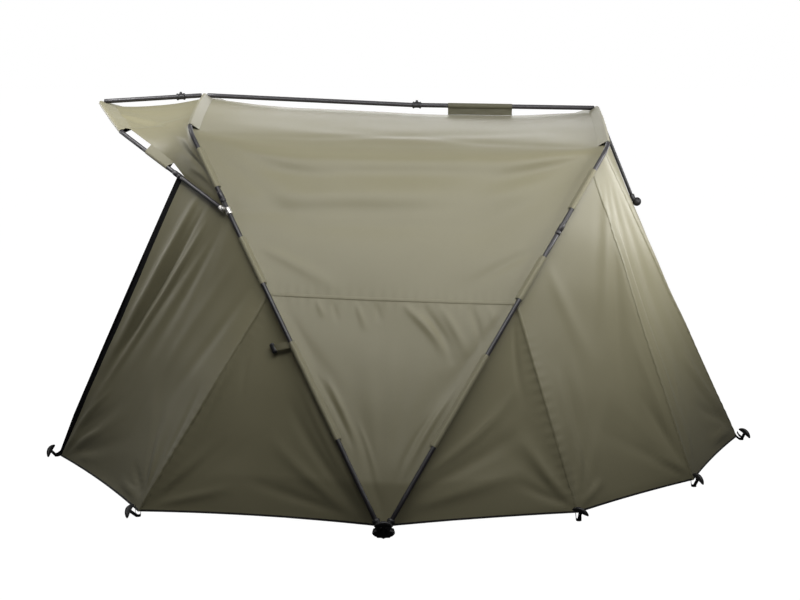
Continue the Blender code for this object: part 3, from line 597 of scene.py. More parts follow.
def patch(bottom, top, left, right, sag):
    # a four-sided sheet between its edges, drawn in a little at its middle
    u = np.linspace(0, 1, len(bottom))[None, :, None]
    v = np.linspace(0, 1, len(left))[:, None, None]
    grid = bottom[None] * (1 - v) + top[None] * v + left[:, None] * (1 - u) + right[:, None] * u
    grid = grid - bottom[0] * (1 - u) * (1 - v) - bottom[-1] * u * (1 - v)
    grid = grid - top[0] * (1 - u) * v - top[-1] * u * v
    across = (bottom[-1] - bottom[0]) + (top[-1] - top[0])
    up = (left[-1] - left[0]) + (right[-1] - right[0])
    inward = facing(unit(np.cross(across, up)), inside - grid[len(left) // 2, len(bottom) // 2])
    return grid + inward * (16 * u * (1 - u) * v * (1 - v) * sag)


def peg(name):
    x, y = cover.pegs[name]
    return np.array(atPivot(x, y, cover.hemHeight))


grids = {}


def addPair(name, grid):
    grids[name + "_left"] = grid
    grids[name + "_right"] = grid * mirror


t = np.linspace(0, 1, 2 * rows + 1)
sideSags = cover.sideSag * np.sin(0.5 * math.pi * t)
sideGrid = span(frontLine, rearLine, legInward(front), legInward(rear), sideSags, spanSteps)
addPair("side_panel_lower", sideGrid[:rows + 1])

crown = np.sin(math.pi * np.linspace(0, 1, archSteps + 1))
roofSags = cover.sideSag + (cover.roofSag - cover.sideSag) * crown
archShares = np.linspace(1, -1, archSteps + 1)
archTurn = np.clip(archShares / tent.apexBlend, -1, 1)
roofGrid = span(
    frontArch, rearArch, front.inward(front.archAngle * archTurn), rear.inward(rear.archAngle * archTurn),
    roofSags, spanSteps,
)
# away from the two ribs the ridge of the roof falls below their apexes
fall = 1 - np.linspace(-1, 1, spanSteps + 1)[None, :] ** 4
roofGrid[..., 2] -= cover.roofFall * (1 - np.abs(archShares[:, None])) ** 2 * fall


def softenBend(lower, upper):
    # rounds the bend where the cloth is far from both ribs
    strip = np.vstack([lower, upper[1:]])
    place = np.arange(len(strip)) - (len(lower) - 1)
    u = np.linspace(0, 1, strip.shape[1])
    weight = np.exp(-(place / (cover.bendSoftRows * refine)) ** 2)[:, None]
    weight = weight * smoothStep(np.minimum(u, 1 - u) / cover.bendSoftEdge)
    weight[0] = weight[-1] = 0
    for _ in range(refine ** 2):
        middle = (np.roll(strip, 1, axis=0) + np.roll(strip, -1, axis=0)) / 2
        strip = strip + (middle - strip) * weight[..., None]
    return strip[:len(lower)], strip[len(lower) - 1:]


middleRow = archSteps // 2
sideGrid, nearRoof = softenBend(sideGrid, roofGrid[:middleRow + 1])
addPair("side_panel_upper", sideGrid[rows:])
grids["roof_panel"] = np.vstack([nearRoof, (nearRoof * mirror)[:-1][::-1]])


def hoodEdgeLine():
    # the hood's hem inside its own rib, from the left clip over the tip to the right clip
    path = 2 * hood.archDistance(0, cover.hoodDrop)
    legShare = cover.hoodEdgeStation * hood.leg.length / (path / 2)
    stations = even(0, legShare, 3)[:-1] + even(legShare, 2 - legShare, 12) + even(2 - legShare, 2, 3)[1:]
    run = stationRun([s * path / 2 for s in stations])
    first, last = cover.hoodLifted
    share = np.minimum(run, path - run) / hood.leg.length
    swell = np.sin(math.pi * np.clip((share - first) / (last - first), 0, 1))
    lift = np.minimum(1.0, cover.hoodLiftRise * swell)
    return hood.along(run, cover.hoodDrop) + np.array([0, 0, cover.hoodEdgeLift]) * lift[:, None]


clipRow = rows + half
ribRun = np.vstack([frontLine[clipRow:-1], frontArch, (frontLine[clipRow:-1] * mirror)[::-1]])
hoodEdge = hoodEdgeLine()
for edge, rib in ((hoodEdge, ribRun), (hoodEdge[::-1], ribRun[::-1])):
    edge[:refine] = straight(rib[0], edge[refine], refine)[:-1]
u = np.linspace(0, 1, gussetSteps + 1)[None, :, None]
hoodSags = cover.hoodSag * np.sin(math.pi * np.linspace(0, 1, len(ribRun))) ** 2
hoodGrid = ribRun[:, None] * (1 - u) + hoodEdge[:, None] * u
hoodGrid[..., 2] -= 4 * u[..., 0] * (1 - u[..., 0]) * hoodSags[:, None]
grids["hood_panel"] = hoodGrid

hemFront = frontLine[0]
hemRear = rearLine[0]
frontSeam = straight(peg("frontSide"), frontLine[rows], rows)
blockHem = hemCurve(hemFront, peg("frontSide"), gussetSteps, cover.gussetHemSag)
frontPoint = np.tile(frontLine[rows], (gussetSteps + 1, 1))
addPair("front_gusset", patch(blockHem, frontPoint, frontLine[:rows + 1], frontSeam, cover.panelSag))

doorEdge = straight(peg("front"), hoodEdge[half], rows)
frontTop = np.vstack([frontLine[rows:clipRow + 1], hoodEdge[1:half + 1]])
frontHem = hemCurve(peg("frontSide"), peg("front"), 2 * half, cover.frontHemSag)
frontGrid = patch(frontHem, frontTop, frontSeam, doorEdge, cover.panelSag)
addPair("front_panel", frontGrid)

rearSeam = straight(peg("rearSide"), rearLine[rows], rows)
rearHem = hemCurve(hemRear, peg("rearSide"), gussetSteps)
rearPoint = np.tile(rearLine[rows], (gussetSteps + 1, 1))
addPair("rear_gusset", patch(rearHem, rearPoint, rearLine[:rows + 1], rearSeam, cover.panelSag))

split = rows + seamColumns
cornerSeam = straight(peg("rearCorner"), rearLine[split], rows)
sideHem = hemCurve(peg("rearSide"), peg("rearCorner"), seamColumns)
addPair("rear_panel", patch(sideHem, rearLine[rows:split + 1], rearSeam, cornerSeam, cover.panelSag))

endSeam = straight(peg("rear"), rearLine[-1], rows)
cornerHem = hemCurve(peg("rearCorner"), peg("rear"), rows - seamColumns)
addPair("rear_corner_panel", patch(cornerHem, rearLine[split:], cornerSeam, endSeam, cover.cornerSag))

endHem = hemCurve(peg("rear"), peg("rear") * mirror, archSteps)
grids["rear_wall"] = patch(endHem, rearArch, endSeam, endSeam * mirror, cover.wallSag)

outward = frontGrid[:, -1] - frontGrid[:, -2]
outward[:, 2] = 0
outward = unit(outward)
bandRise = np.minimum(1, np.linspace(0, 1, rows + 1) / cover.doorFootEnd)
bandWidths = cover.doorBand * (cover.doorFootShare + (1 - cover.doorFootShare) * bandRise)
bandSteps = bandWidths[:, None] * np.linspace(0, 1, 5)
doorGrid = frontGrid[:, -1][:, None] + outward[:, None] * bandSteps[..., None]
addPair("door_edge", doorGrid)
print("stage: cover laid out,", len(grids), "panels")

# All grid points in one list, with equal ones counted once, so that panels stay joined when they move.
names = list(grids)
mergeSteps = 1e5
stacked = np.vstack([grids[n].reshape(-1, 3) for n in names])
firstIndex, uniqueIndex = np.unique(
    np.round(stacked * mergeSteps).astype(np.int64), axis=0, return_index=True, return_inverse=True
)[1:]
uniqueIndex = uniqueIndex.ravel()
shared = stacked[firstIndex].copy()
gridIndex = {}
cursor = 0
for n in names:
    size = grids[n].shape[0] * grids[n].shape[1]
    gridIndex[n] = uniqueIndex[cursor:cursor + size].reshape(grids[n].shape[:2])
    cursor += size


def cornersOf(grid):
    # the four corners of each cell of a grid
    return np.stack([grid[:-1, :-1], grid[:-1, 1:], grid[1:, 1:], grid[1:, :-1]], axis=2)


def quadsOf(index):
    return cornersOf(index).reshape(-1, 4)


def quadNormals(points, quads):
    a, b, c, d = (points[quads[:, i]] for i in range(4))
    return np.cross(c - a, d - b)


turned = {}
for n in names:
    quads = quadsOf(gridIndex[n])
    normal = quadNormals(shared, quads).sum(axis=0)
    centre = shared[quads].mean(axis=(0, 1))
    turned[n] = -1.0 if normal @ (centre - inside) < 0 else 1.0


def sharedNormals(points):
    total = np.zeros_like(points)
    for n in names:
        quads = quadsOf(gridIndex[n])
        normal = quadNormals(points, quads) * turned[n]
        for corner in range(4):
            np.add.at(total, quads[:, corner], normal)
    return unit(total)


# Folds: long soft ridges that fan out from where the cloth is pulled.
folds = SimpleNamespace(**{
    "seed": 11,
    "ribClear": 0.05,
    "hemClear": 0.022,
    "puckerDepth": 0.0009,
    "puckerReach": 0.030,
    "puckerWave": 0.036,
    "puckerDrift": (1.7, 9.0),
    "cloudDepth": 0.0035,
    "cloudWaves": (14, 0.16, 0.9),
})
draw = np.random.default_rng(folds.seed)


def distanceToLine(points, line):
    # distance to a polyline and how far along it the nearest point lies
    best = np.full(len(points), 1e9)
    place = np.zeros(len(points))
    run = 0.0
    for a, b in zip(line, line[1:]):
        step = b - a
        size = np.linalg.norm(step)
        share = np.clip((points - a) @ step / max(size ** 2, tiny), 0, 1)
        gap = np.linalg.norm(points - a - share[:, None] * step, axis=1)
        closer = gap < best
        best[closer] = gap[closer]
        place[closer] = run + share[closer] * size
        run += size
    return best, place


def addFold(height, points, start, end, width, depth, peak):
    # a ridge between two points; peak says how far along it is deepest
    step = end - start
    size = np.linalg.norm(step)
    share = (points - start) @ step / size ** 2
    near = (share > 0) & (share < 1)
    gap = np.linalg.norm(points[near] - start - share[near][:, None] * step, axis=1)
    s = share[near]
    swell = np.sin(math.pi * s ** (math.log(0.5) / math.log(peak)))
    spread = width * (0.45 + 0.9 * s)
    height[near] += depth * swell * np.exp(-(gap / spread) ** 2)


def addFan(height, points, start, towards, count, width, depth, peak=0.4, reach=(0.75, 1.0)):
    # folds that leave one point and end between the two points in towards
    for i in range(count):
        share = (i + 0.5 + draw.uniform(-0.3, 0.3)) / count
        end = towards[0] * (1 - share) + towards[1] * share
        end = start + (end - start) * draw.uniform(*reach)
        way = 1.0 if i % 2 else -1.0
        wide = width * draw.uniform(0.8, 1.25)
        addFold(height, points, start, end, wide, way * depth * draw.uniform(0.6, 1.1), peak)


def onPanel(grid, across, up):
    j, i = (np.array(grid.shape[:2]) - 1.0001) * (up, across)
    row, column = int(j), int(i)
    j, i = j - row, i - column
    low = grid[row, column] * (1 - i) + grid[row, column + 1] * i
    high = grid[row + 1, column] * (1 - i) + grid[row + 1, column + 1] * i
    return low * (1 - j) + high * j


def addCrease(height, points, grid, start, end, width, depth, peak=0.45):
    # a ridge laid along one panel between two of its places, given in percent across and up
    path = np.array([onPanel(grid, *s) for s in straight(np.array(start), np.array(end), 10) / 100])
    reach = 3 * width
    near = np.all((points > path.min(axis=0) - reach) & (points < path.max(axis=0) + reach), axis=1)
    gap, place = distanceToLine(points[near], path)
    share = np.clip(place / place.max(), 0, 1)
    swell = np.sin(math.pi * share ** (math.log(0.5) / math.log(peak)))
    height[near] += depth * swell * np.exp(-(gap / (width * (0.6 + 0.6 * share))) ** 2)


# Creases seen in the cloth: two places on the panel, in percent across and up it, the width and the height
# in millimetres.
creases = {
    "front_panel_left": (
        (80, 99, 96.5, 30, 26, 19), (70, 97, 94, 30, 12, -9), (63, 95, 92, 22, 12, 9),
        (30, 98, 52, 30, 30, 3), (12, 97, 30, 35, 26, -4), (50, 97, 66, 40, 28, -4), (98, 5, 72, 15, 9, 5),
        (98, 8, 76, 23, 9, -4), (97, 12, 80, 30, 9, 4), (97, 2, 60, 6, 8, 4), (3, 3, 34, 5, 9, 6),
        (4, 6, 30, 13, 10, -5), (4, 10, 24, 30, 13, 5), (2, 16, 10, 55, 14, -4),
    ),
    "front_gusset_left": (
        (3, 4, 12, 66, 14, 5), (6, 4, 30, 55, 18, -5), (10, 4, 46, 36, 20, 5), (12, 3, 60, 16, 16, -4),
        (97, 4, 72, 34, 16, -5), (95, 3, 62, 12, 14, 5), (90, 30, 96, 80, 14, 4), (70, 50, 86, 90, 16, -3),
    ),
    "side_panel_lower_left": (
        (18.6, 98.5, 20, 90, 9, 3.5), (25, 98.5, 25.5, 88, 9, -3), (35, 98.5, 38, 85, 10, 4),
        (43, 98.5, 45, 89, 9, -3), (54, 98.5, 83, 73, 15, 7), (62, 98.5, 86, 70, 14, -6),
        (69, 98.5, 91, 74, 12, 5), (82, 98.5, 97, 77, 11, -5.5), (90, 98.5, 98.5, 86, 9, 4),
        (5, 66, 13, 30, 13, -5), (11, 64, 19, 26, 13, 5), (24, 44, 38, 10, 12, 3), (93, 60, 80, 18, 14, 4),
        (86, 50, 66, 10, 15, -3),
    ),
    "side_panel_upper_left": (
        (3, 60, 97, 57, 48, 6), (4, 76, 96, 72, 40, -6), (5, 88, 95, 86, 34, 5), (8, 42, 92, 40, 44, -4),
        (2, 97, 40, 70, 30, 4), (98, 97, 66, 66, 30, 4), (3, 30, 30, 3, 24, 4), (97, 28, 74, 4, 22, -4),
    ),
    "rear_gusset_left": (
        (6, 6, 80, 22, 26, 5), (5, 12, 84, 44, 26, -5), (5, 20, 80, 66, 22, 5), (97, 3, 66, 16, 16, -5),
        (96, 5, 74, 36, 16, 5), (62, 92, 78, 50, 14, -4),
    ),
    "rear_panel_left": (
        (10, 4, 18, 62, 13, 5), (17, 4, 27, 58, 12, -5), (25, 6, 36, 60, 16, 4), (97, 3, 74, 12, 13, 6),
        (96, 6, 80, 34, 13, -6), (95, 10, 88, 55, 14, 4), (4, 3, 30, 10, 14, 5), (35, 97, 52, 45, 34, 4),
    ),
    "rear_corner_panel_left": (
        (4, 86, 5, 6, 17, -7), (15, 84, 14, 5, 16, 11), (26, 80, 24, 8, 18, -6), (97, 3, 52, 5, 16, 9),
        (97, 6, 56, 18, 16, -9), (96, 10, 66, 36, 18, 9), (94, 14, 80, 56, 16, -4), (4, 4, 34, 20, 12, 5),
    ),
    "hood_panel": (
        (6, 2, 70, 16, 12, 5), (6, 3, 60, 22, 11, -5), (5, 4, 46, 26, 11, 5), (4, 5, 30, 32, 12, -4),
        (96, 46, 30, 30, 16, 5), (96, 44, 20, 24, 16, -4),
    ),
}


def clouds(points, waves, low, high):
    # smooth wandering height from waves of several lengths, in metres
    total = np.zeros(len(points))
    for i in range(waves):
        direction = draw.normal(size=3)
        direction /= np.linalg.norm(direction)
        length = low * (high / low) ** (i / (waves - 1))
        phase = points @ direction * 2 * math.pi / length + draw.uniform(0, 6.28)
        total += np.sin(phase) * (length / high) ** 0.8
    return total / math.sqrt(waves)


seamLines = {
    "side_seam": sideGrid[rows],
    "front_seam": frontSeam,
    "rear_seam": rearSeam,
    "corner_seam": cornerSeam,
    "end_seam": endSeam,
}


def coverFans():
    # where each fan leaves, the two points it spreads between, its count, width and depth in millimetres, and
    # how far along its folds are deepest and end
    seamFront, seamRear = frontLine[rows], rearLine[rows]
    blockSpot = (hemFront + hemRear) / 2
    lowMiddle, topMiddle = sideGrid[rows // 4, spanSteps // 2], sideGrid[2 * rows - 2, spanSteps // 2]
    seamAt = [sideGrid[rows, spanSteps * a // b] for a, b in ((1, 4), (1, 3), (1, 2), (3, 4))]
    short, middling = (0.5, 0.9), (0.4, 0.8)
    return (
        # below the side seam
        (seamFront, blockSpot, lowMiddle, 5, 30, 6),
        (seamRear, blockSpot, lowMiddle, 5, 30, 6),
        (blockSpot, seamAt[0], seamAt[3], 6, 34, 5, 0.3),
        # above it
        (frontLine[-1], seamAt[1], topMiddle, 4, 50, 6),
        (rearLine[-1], seamAt[2], topMiddle, 4, 50, 6),
        # front panels, from the clip and from the pegs
        (frontLine[clipRow], peg("frontSide"), doorEdge[rows // 4], 9, 26, 5.5, 0.45),
        (peg("frontSide"), frontLine[rows // 2], doorEdge[rows // 2], 9, 24, 5, 0.3, short),
        (peg("front"), doorEdge[2 * rows // 3], frontSeam[rows // 3], 5, 22, 5, 0.3, middling),
        # rear panels, from the bend and from the pegs
        (rearLine[-1], peg("rearSide"), peg("rear"), 9, 34, 5, 0.45),
        (peg("rearSide"), rearLine[rows // 2], cornerSeam[rows // 2], 8, 26, 5, 0.3, short),
        (peg("rearCorner"), rearSeam[rows // 2], endSeam[rows // 2], 6, 26, 4.5, 0.3, short),
        (peg("rear"), cornerSeam[rows // 2], rearArch[archSteps // 2], 5, 28, 4.5, 0.3, middling),
        # roof and hood
        (frontArch[0], rearArch[archSteps // 4], rearArch[0], 4, 50, 5),
        (rearArch[0], frontArch[archSteps // 4], frontArch[0], 4, 50, 5),
        (hoodEdge[len(hoodEdge) // 2], frontArch[0], frontArch[archSteps // 2], 5, 28, 4.5),
    )


def coverHeights(points):
    # how far each point of the cover stands out from its smooth shape
    leftPoints = points * np.where(points[:, 1:2] > 0, mirror, 1.0)
    height = np.zeros(len(points))
    for start, first, last, count, width, depth, *shape in coverFans():
        addFan(height, leftPoints, start, (first, last), count, width / 1000, depth / 1000, *shape)
    for name, lines in creases.items():
        for *places, width, depth in lines:
            addCrease(height, leftPoints, grids[name], places[:2], places[2:], width / 1000, depth / 1000)
    height += folds.cloudDepth * clouds(leftPoints, *folds.cloudWaves)
    for line in seamLines.values():
        gap, place = distanceToLine(leftPoints, line)
        drift, driftTurn = folds.puckerDrift
        wave = np.sin(place * 2 * math.pi / folds.puckerWave + drift * np.sin(place * driftTurn))
        height += folds.puckerDepth * wave * np.exp(-(gap / folds.puckerReach) ** 1.5)
    return height


def coverMask(points):
    # the cloth lies still along the ribs, at the hem and at the hood's tip
    leftPoints = points * np.where(points[:, 1:2] > 0, mirror, 1.0)
    mask = smoothStep((points[:, 2] - cover.hemHeight) / folds.hemClear)
    for line in (frontLine, rearLine, frontArch, rearArch, hoodEdge):
        mask *= smoothStep(distanceToLine(leftPoints, line[::refine])[0] / folds.ribClear)
    return mask


heights = coverHeights(shared) * coverMask(shared)
shared = shared + sharedNormals(shared) * heights[:, None]
coverNormals = sharedNormals(shared)
print("stage: folds laid in,", len(shared), "points")


def sheetSize(grid):
    # the cut's width, length and area, from the panel before it was folded
    a, b, c, d = np.moveaxis(cornersOf(grid), 2, 0)
    area = 0.5 * np.linalg.norm(np.cross(c - a, d - b), axis=2).sum()
    return float(runOf(grid, 1)[:, -1].max()), float(runOf(grid)[-1].max()), float(area)


def sheetPiece(name, finish, slot):
    # a panel as a thin closed sheet, with its own metres as UVs
    across = runOf(grids[name], 1)
    uvGrid = np.stack([across - across.mean(axis=1, keepdims=True), runOf(grids[name])], axis=-1)
    way = int(turned[name])
    cornerUv = cornersOf(uvGrid).reshape(-1, 4, 2)[:, ::way]
    used, local = np.unique(quadsOf(gridIndex[name])[:, ::way], return_inverse=True)
    local = local.reshape(-1, 4)
    count = len(used)
    shift = coverNormals[used] * cover.thickness / 2
    layers = np.vstack([shared[used] + shift, shared[used] - shift])
    faces, uvs, edges = [], [], {}
    for quad, uv in zip(local, cornerUv):
        corners, uvCorners = [], []
        for vert, pair in zip(quad, uv):
            if vert not in corners:
                corners.append(int(vert))
                uvCorners.append(pair)
        if len(corners) < 3:
            continue
        faces += [corners, [v + count for v in reversed(corners)]]
        uvs += uvCorners + uvCorners[::-1]
        for k, vert in enumerate(corners):
            after = (k + 1) % len(corners)
            edges[(vert, corners[after])] = (uvCorners[k], uvCorners[after])
    for (a, b), (uvA, uvB) in edges.items():
        if (b, a) not in edges:
            faces.append([b, a, a + count, b + count])
            uvs += [uvB, uvA, uvA, uvB]
    return addPiece(newPiece(name + "_cloth", layers, faces, finish, uvs, 60), slot, name)


# Ribs and poles.
poles = SimpleNamespace(**{
    "radius": 0.008,
    "ridgeRadius": 0.0093,
    "ferruleRadius": 0.0100,
    "ferruleLength": 0.044,
    "gap": 0.0003,
    "ferrules": {"front_rib": 0.814, "rear_rib": 0.762, "hood_rib": 0.435},
    "feet": {"front_rib": 0.003, "rear_rib": 0.003, "hood_rib": 0.020},
    "sides": 28,
    # the ferrule's outline: distance along it in metres and share of its radius
    "lip": (
        (0.0, 0.90), (0.001, 1.0), (0.012, 1.0), (0.0125, 0.95), (0.0145, 0.95), (0.015, 1.0), (0.036, 1.0),
        (0.0415, 0.97), (0.044, 0.84),
    ),
    "lead": 0.004,
})


def roundEnds(points):
    # extra rings near both ends, so that the tube ends in a small rounded edge
    first = (points[1] - points[0]).normalized()
    last = (points[-1] - points[-2]).normalized()
    rounding = ((0.0, 0.80), (0.0006, 0.94), (0.0016, 1.0))
    path = [points[0] + first * reach for reach, scale in rounding] + points[1:-1]
    path += [points[-1] - last * reach for reach, scale in rounding[::-1]]
    scales = [scale for reach, scale in rounding]
    return path, scales + [1.0] * (len(points) - 2) + scales[::-1]


def polePiece(name, points, normal, radius):
    path, scales = roundEnds(points)
    made = sweepPiece(name, path, normal, circle(radius, poles.sides), "pole", scales)
    return addPiece(made, "pole", name.removesuffix("_pole"))


def ribPieces(name, hoop):
    size = hoop.leg.length
    half = poles.ferruleLength / 2 / size
    ferrule, foot = poles.ferrules[name], poles.feet[name]
    for side in sides:
        ends = [onSide(hoop.legPoint(s), side) for s in (foot, ferrule - half - poles.gap / size)]
        middle = [ends[0].lerp(ends[1], s) for s in even(0, 1, 12)]
        polePiece(f"{name}_leg_{side}_pole", middle, hoop.normal, poles.radius)
    spots = hoop.halfPath(0.0, 14, 40)[1:]
    left = [hoop.place(p.x, p.y) for p in spots]
    ends = [hoop.legPoint(s) for s in even(ferrule + half, ferrule + half + poles.lead / size, 1)]
    path = ends + left + [mirrored(p) for p in reversed(left[:-1])] + [mirrored(p) for p in reversed(ends)]
    made = sweepPiece(f"{name}_arch_pole", path, hoop.normal, circle(poles.radius, poles.sides), "pole")
    sleeves = []
    reaches, scales = zip(*poles.lip)
    for side in sides:
        steps = [onSide(hoop.legPoint(ferrule - half + reach / size), side) for reach in reaches]
        outline = circle(poles.ferruleRadius, poles.sides)
        sleeves.append(sweepPiece("ferrule", steps, hoop.normal, outline, "pole", scales, 60))
    whole = joinPieces(f"{name}_arch_pole", [made, *sleeves])
    return addPiece(whole, "pole", f"{name}_arch")


ribPieces("front_rib", front)
ribPieces("rear_rib", rear)
ribPieces("hood_rib", hood)
print("stage: ribs made")

clothPieces = {}
for n in names:
    looks = ("band", "door_band") if n.startswith("door_edge") else ("cloth", "cloth")
    clothPieces[n] = sheetPiece(n, *looks)
print("stage: cloth panels made")

# A tree of the whole cover, for pieces that lie on it.
allQuads = np.vstack([quadsOf(gridIndex[n])[:, ::int(turned[n])] for n in names])
coverTree = BVHTree.FromPolygons([tuple(p) for p in shared], [tuple(q) for q in allQuads])


def onCover(point, lift=0.0, out=None):
    # the nearest spot of the cloth's own face; out says which side of the cloth is meant
    spot, normal = coverTree.find_nearest(Vector(point))[:2]
    if out is not None:
        normal = facing(normal, Vector(out))
    return np.array(spot + normal * lift), np.array(normal)


def ribbonPiece(name, grid, thickness, finish, smoothAngle=60):
    # a thin closed sheet around a grid of points
    grid = np.asarray(grid, float)
    n, m = grid.shape[:2]
    shift = unit(np.cross(np.gradient(grid, axis=0), np.gradient(grid, axis=1))) * thickness / 2
    layers = np.vstack([(grid + shift).reshape(-1, 3), (grid - shift).reshape(-1, 3)])
    long, wide = runOf(grid), runOf(grid, 1)
    faces, uvs = [], []

    def addFace(corners, layerOf):
        faces.append([i * m + j + layer * n * m for (i, j), layer in zip(corners, layerOf)])
        uvs.extend((long[i, j], wide[i, j]) for i, j in corners)

    for i in range(n - 1):
        for j in range(m - 1):
            quad = [(i, j), (i, j + 1), (i + 1, j + 1), (i + 1, j)]
            addFace(quad, (0, 0, 0, 0))
            addFace(quad[::-1], (1, 1, 1, 1))
    rim = [((i, 0), (i + 1, 0)) for i in range(n - 1)] + [((i + 1, m - 1), (i, m - 1)) for i in range(n - 1)]
    rim += [((0, j + 1), (0, j)) for j in range(m - 1)] + [((n - 1, j), (n - 1, j + 1)) for j in range(m - 1)]
    for a, b in rim:
        addFace((a, b, b, a), (0, 0, 1, 1))
    return facesOutward(newPiece(name, layers, faces, finish, uvs, smoothAngle))


# Pole sleeves: cloth drawn tight over a pole and sewn down on the cover at both sides of it.
sleeves = SimpleNamespace(**{
    "wrap": 0.0087,
    "thickness": 0.0008,
    "lift": 0.0011,
    "step": 0.008,
    "slack": 0.0004,
    "legFlanges": (0.0135, 0.0115),
    "archFlanges": (0.034, 0.014),
    "hoodFlange": 0.046,
    "frontLegs": ((0.195, 0.435), (0.585, 0.705), (0.840, 0.945)),
    "rearLegs": ((0.185, 0.420), (0.570, 0.685), (0.820, 0.930)),
    "hoodLegs": (0.53, 0.74),
})


def tightRing(centre, side, up, feet, wobble):
    # from one foot on the cover, over the pole and down to the other foot
    radius = sleeves.wrap + sleeves.slack * (0.5 + 0.5 * math.sin(wobble))
    ends, angles = [], []
    for foot, way in zip(feet, (1, -1)):
        gap = foot - centre
        p, q = gap @ side * way, gap @ up
        reach = math.hypot(p, q)
        angle = math.atan2(q, p) + math.acos(min(1.0, radius / reach))
        angles.append(angle if way > 0 else math.pi - angle)
        ends.append(centre + (side * math.cos(angles[-1]) + up * math.sin(angles[-1])) * radius)
    ring = [feet[0] + (ends[0] - feet[0]) * s for s in (0.0, 0.3, 0.6, 0.85)]
    for a in np.linspace(angles[0], angles[1], 13):
        ring.append(centre + (side * math.cos(a) + up * math.sin(a)) * radius)
    return ring + [feet[1] + (ends[1] - feet[1]) * s for s in (0.85, 0.6, 0.3, 0.0)]


def sleevePiece(name, hoop, first, last, ringAt):
    # distances run along the hoop's own line, from the left foot
    runs = np.linspace(first, last, max(8, int((last - first) / sleeves.step)) + 1)
    line, inner = hoop.along(runs), hoop.along(runs, 0.004)
    tangents = unit(np.gradient(line, axis=0))
    grid = []
    for centre, along, within, run in zip(line, tangents, inner, runs):
        up = centre - within
        up = unit(up - along * (up @ along))
        side = np.cross(along, up)
        grid.append(tightRing(centre, side, up, ringAt(centre, side, up), run * 31))
    return ribbonPiece(name, grid, sleeves.thickness, "sleeve", 70)


def panelFeet(hoop, flanges):
    # the wider flange lies on the side panels and the roof
    wide, narrow = flanges
    first, second = (wide, narrow) if hoop is front else (narrow, wide)

    def feet(centre, side, up):
        base = centre - up * cover.legDrop
        return [onCover(base + side * reach, sleeves.lift, up)[0] for reach in (first, -second)]

    return feet


def hoodFeet(centre, side, up):
    # the hood's sleeves lie on both faces of the hood's edge
    spot, normal = onCover(centre - up * (cover.hoodDrop + sleeves.hoodFlange))
    normal = facing(normal, side)
    return [spot + normal * sleeves.lift, spot - normal * sleeves.lift]


def legSleeves(name, hoop, spans):
    size = hoop.leg.length
    feet = panelFeet(hoop, sleeves.legFlanges)
    parts = [sleevePiece("part", hoop, a * size, b * size, feet) for a, b in spans]
    return addMirrored(joinPieces(name + "_left", parts), "sleeve")


def archSleeve(name, hoop, node, start, feet):
    made = sleevePiece(name, hoop, start, 2 * hoop.archDistance(0) - start, feet)
    return addPiece(made, "sleeve", node)


frontSleeves = legSleeves("front_leg_sleeves", front, sleeves.frontLegs)
rearSleeves = legSleeves("rear_leg_sleeves", rear, sleeves.rearLegs)
archStart = {hoop: hoop.bendDistance() + 0.5 * hoop.bendRadius * hoop.turn for hoop in (front, rear, hood)}
frontArchSleeve = archSleeve("front_arch_cloth", front, "front_arch_sleeve", archStart[front],
                             panelFeet(front, sleeves.archFlanges))
rearArchSleeve = archSleeve("rear_arch_cloth", rear, "rear_arch_sleeve", archStart[rear],
                            panelFeet(rear, sleeves.archFlanges))
hoodArchSleeve = archSleeve("hood_arch_cloth", hood, "hood_arch_sleeve", archStart[hood], hoodFeet)
hoodSpan = [share * hood.leg.length for share in sleeves.hoodLegs]
hoodLegSleeves = addMirrored(sleevePiece("hood_leg_sleeve_left", hood, *hoodSpan, hoodFeet), "sleeve")
print("stage: sleeves made")

# Seams: a folded strip over each join, with two rows of stitches.
seams = SimpleNamespace(**{
    "width": 0.013,
    "thickness": 0.0005,
    "proud": 0.0009,
    "edgeLift": 0.0002,
    "stitchLift": 0.0003,
    "stitchOffset": 0.0042,
    "stitchSpacing": 0.0065,
    "stitchLength": 0.0046,
    "stitchRadius": 0.00045,
    "step": 0.010,
})


def resampled(line, step):
    line = np.asarray([tuple(p) for p in line], float)
    run = runOf(line)
    places = np.linspace(0, run[-1], max(2, int(run[-1] / step)) + 1)
    return np.stack([np.interp(places, run, line[:, k]) for k in range(3)], axis=1)


def seamGrid(line, offsets, lifts):
    # rows along the seam; each row crosses it and lies on the cloth at both sides
    points = resampled(line, seams.step)
    tangents = unit(np.gradient(points, axis=0))
    grid = []
    for point, tangent in zip(points, tangents):
        spot, normal = onCover(point)
        side = unit(np.cross(tangent, facing(normal, spot - inside)))
        grid.append([onCover(spot + side * o, lift, spot - inside)[0] for o, lift in zip(offsets, lifts)])
    return np.array(grid)


def seamPiece(name, line):
    w = seams.width / 2
    low, top = cover.thickness / 2 + seams.edgeLift, cover.thickness / 2 + seams.proud
    offsets = [w * share for share in (-1, -0.82, -0.3, 0, 0.3, 0.82, 1)]
    grid = seamGrid(line, offsets, (low, top, top, top * 1.15, top, top, low))
    return ribbonPiece(name, grid, seams.thickness, "cloth")


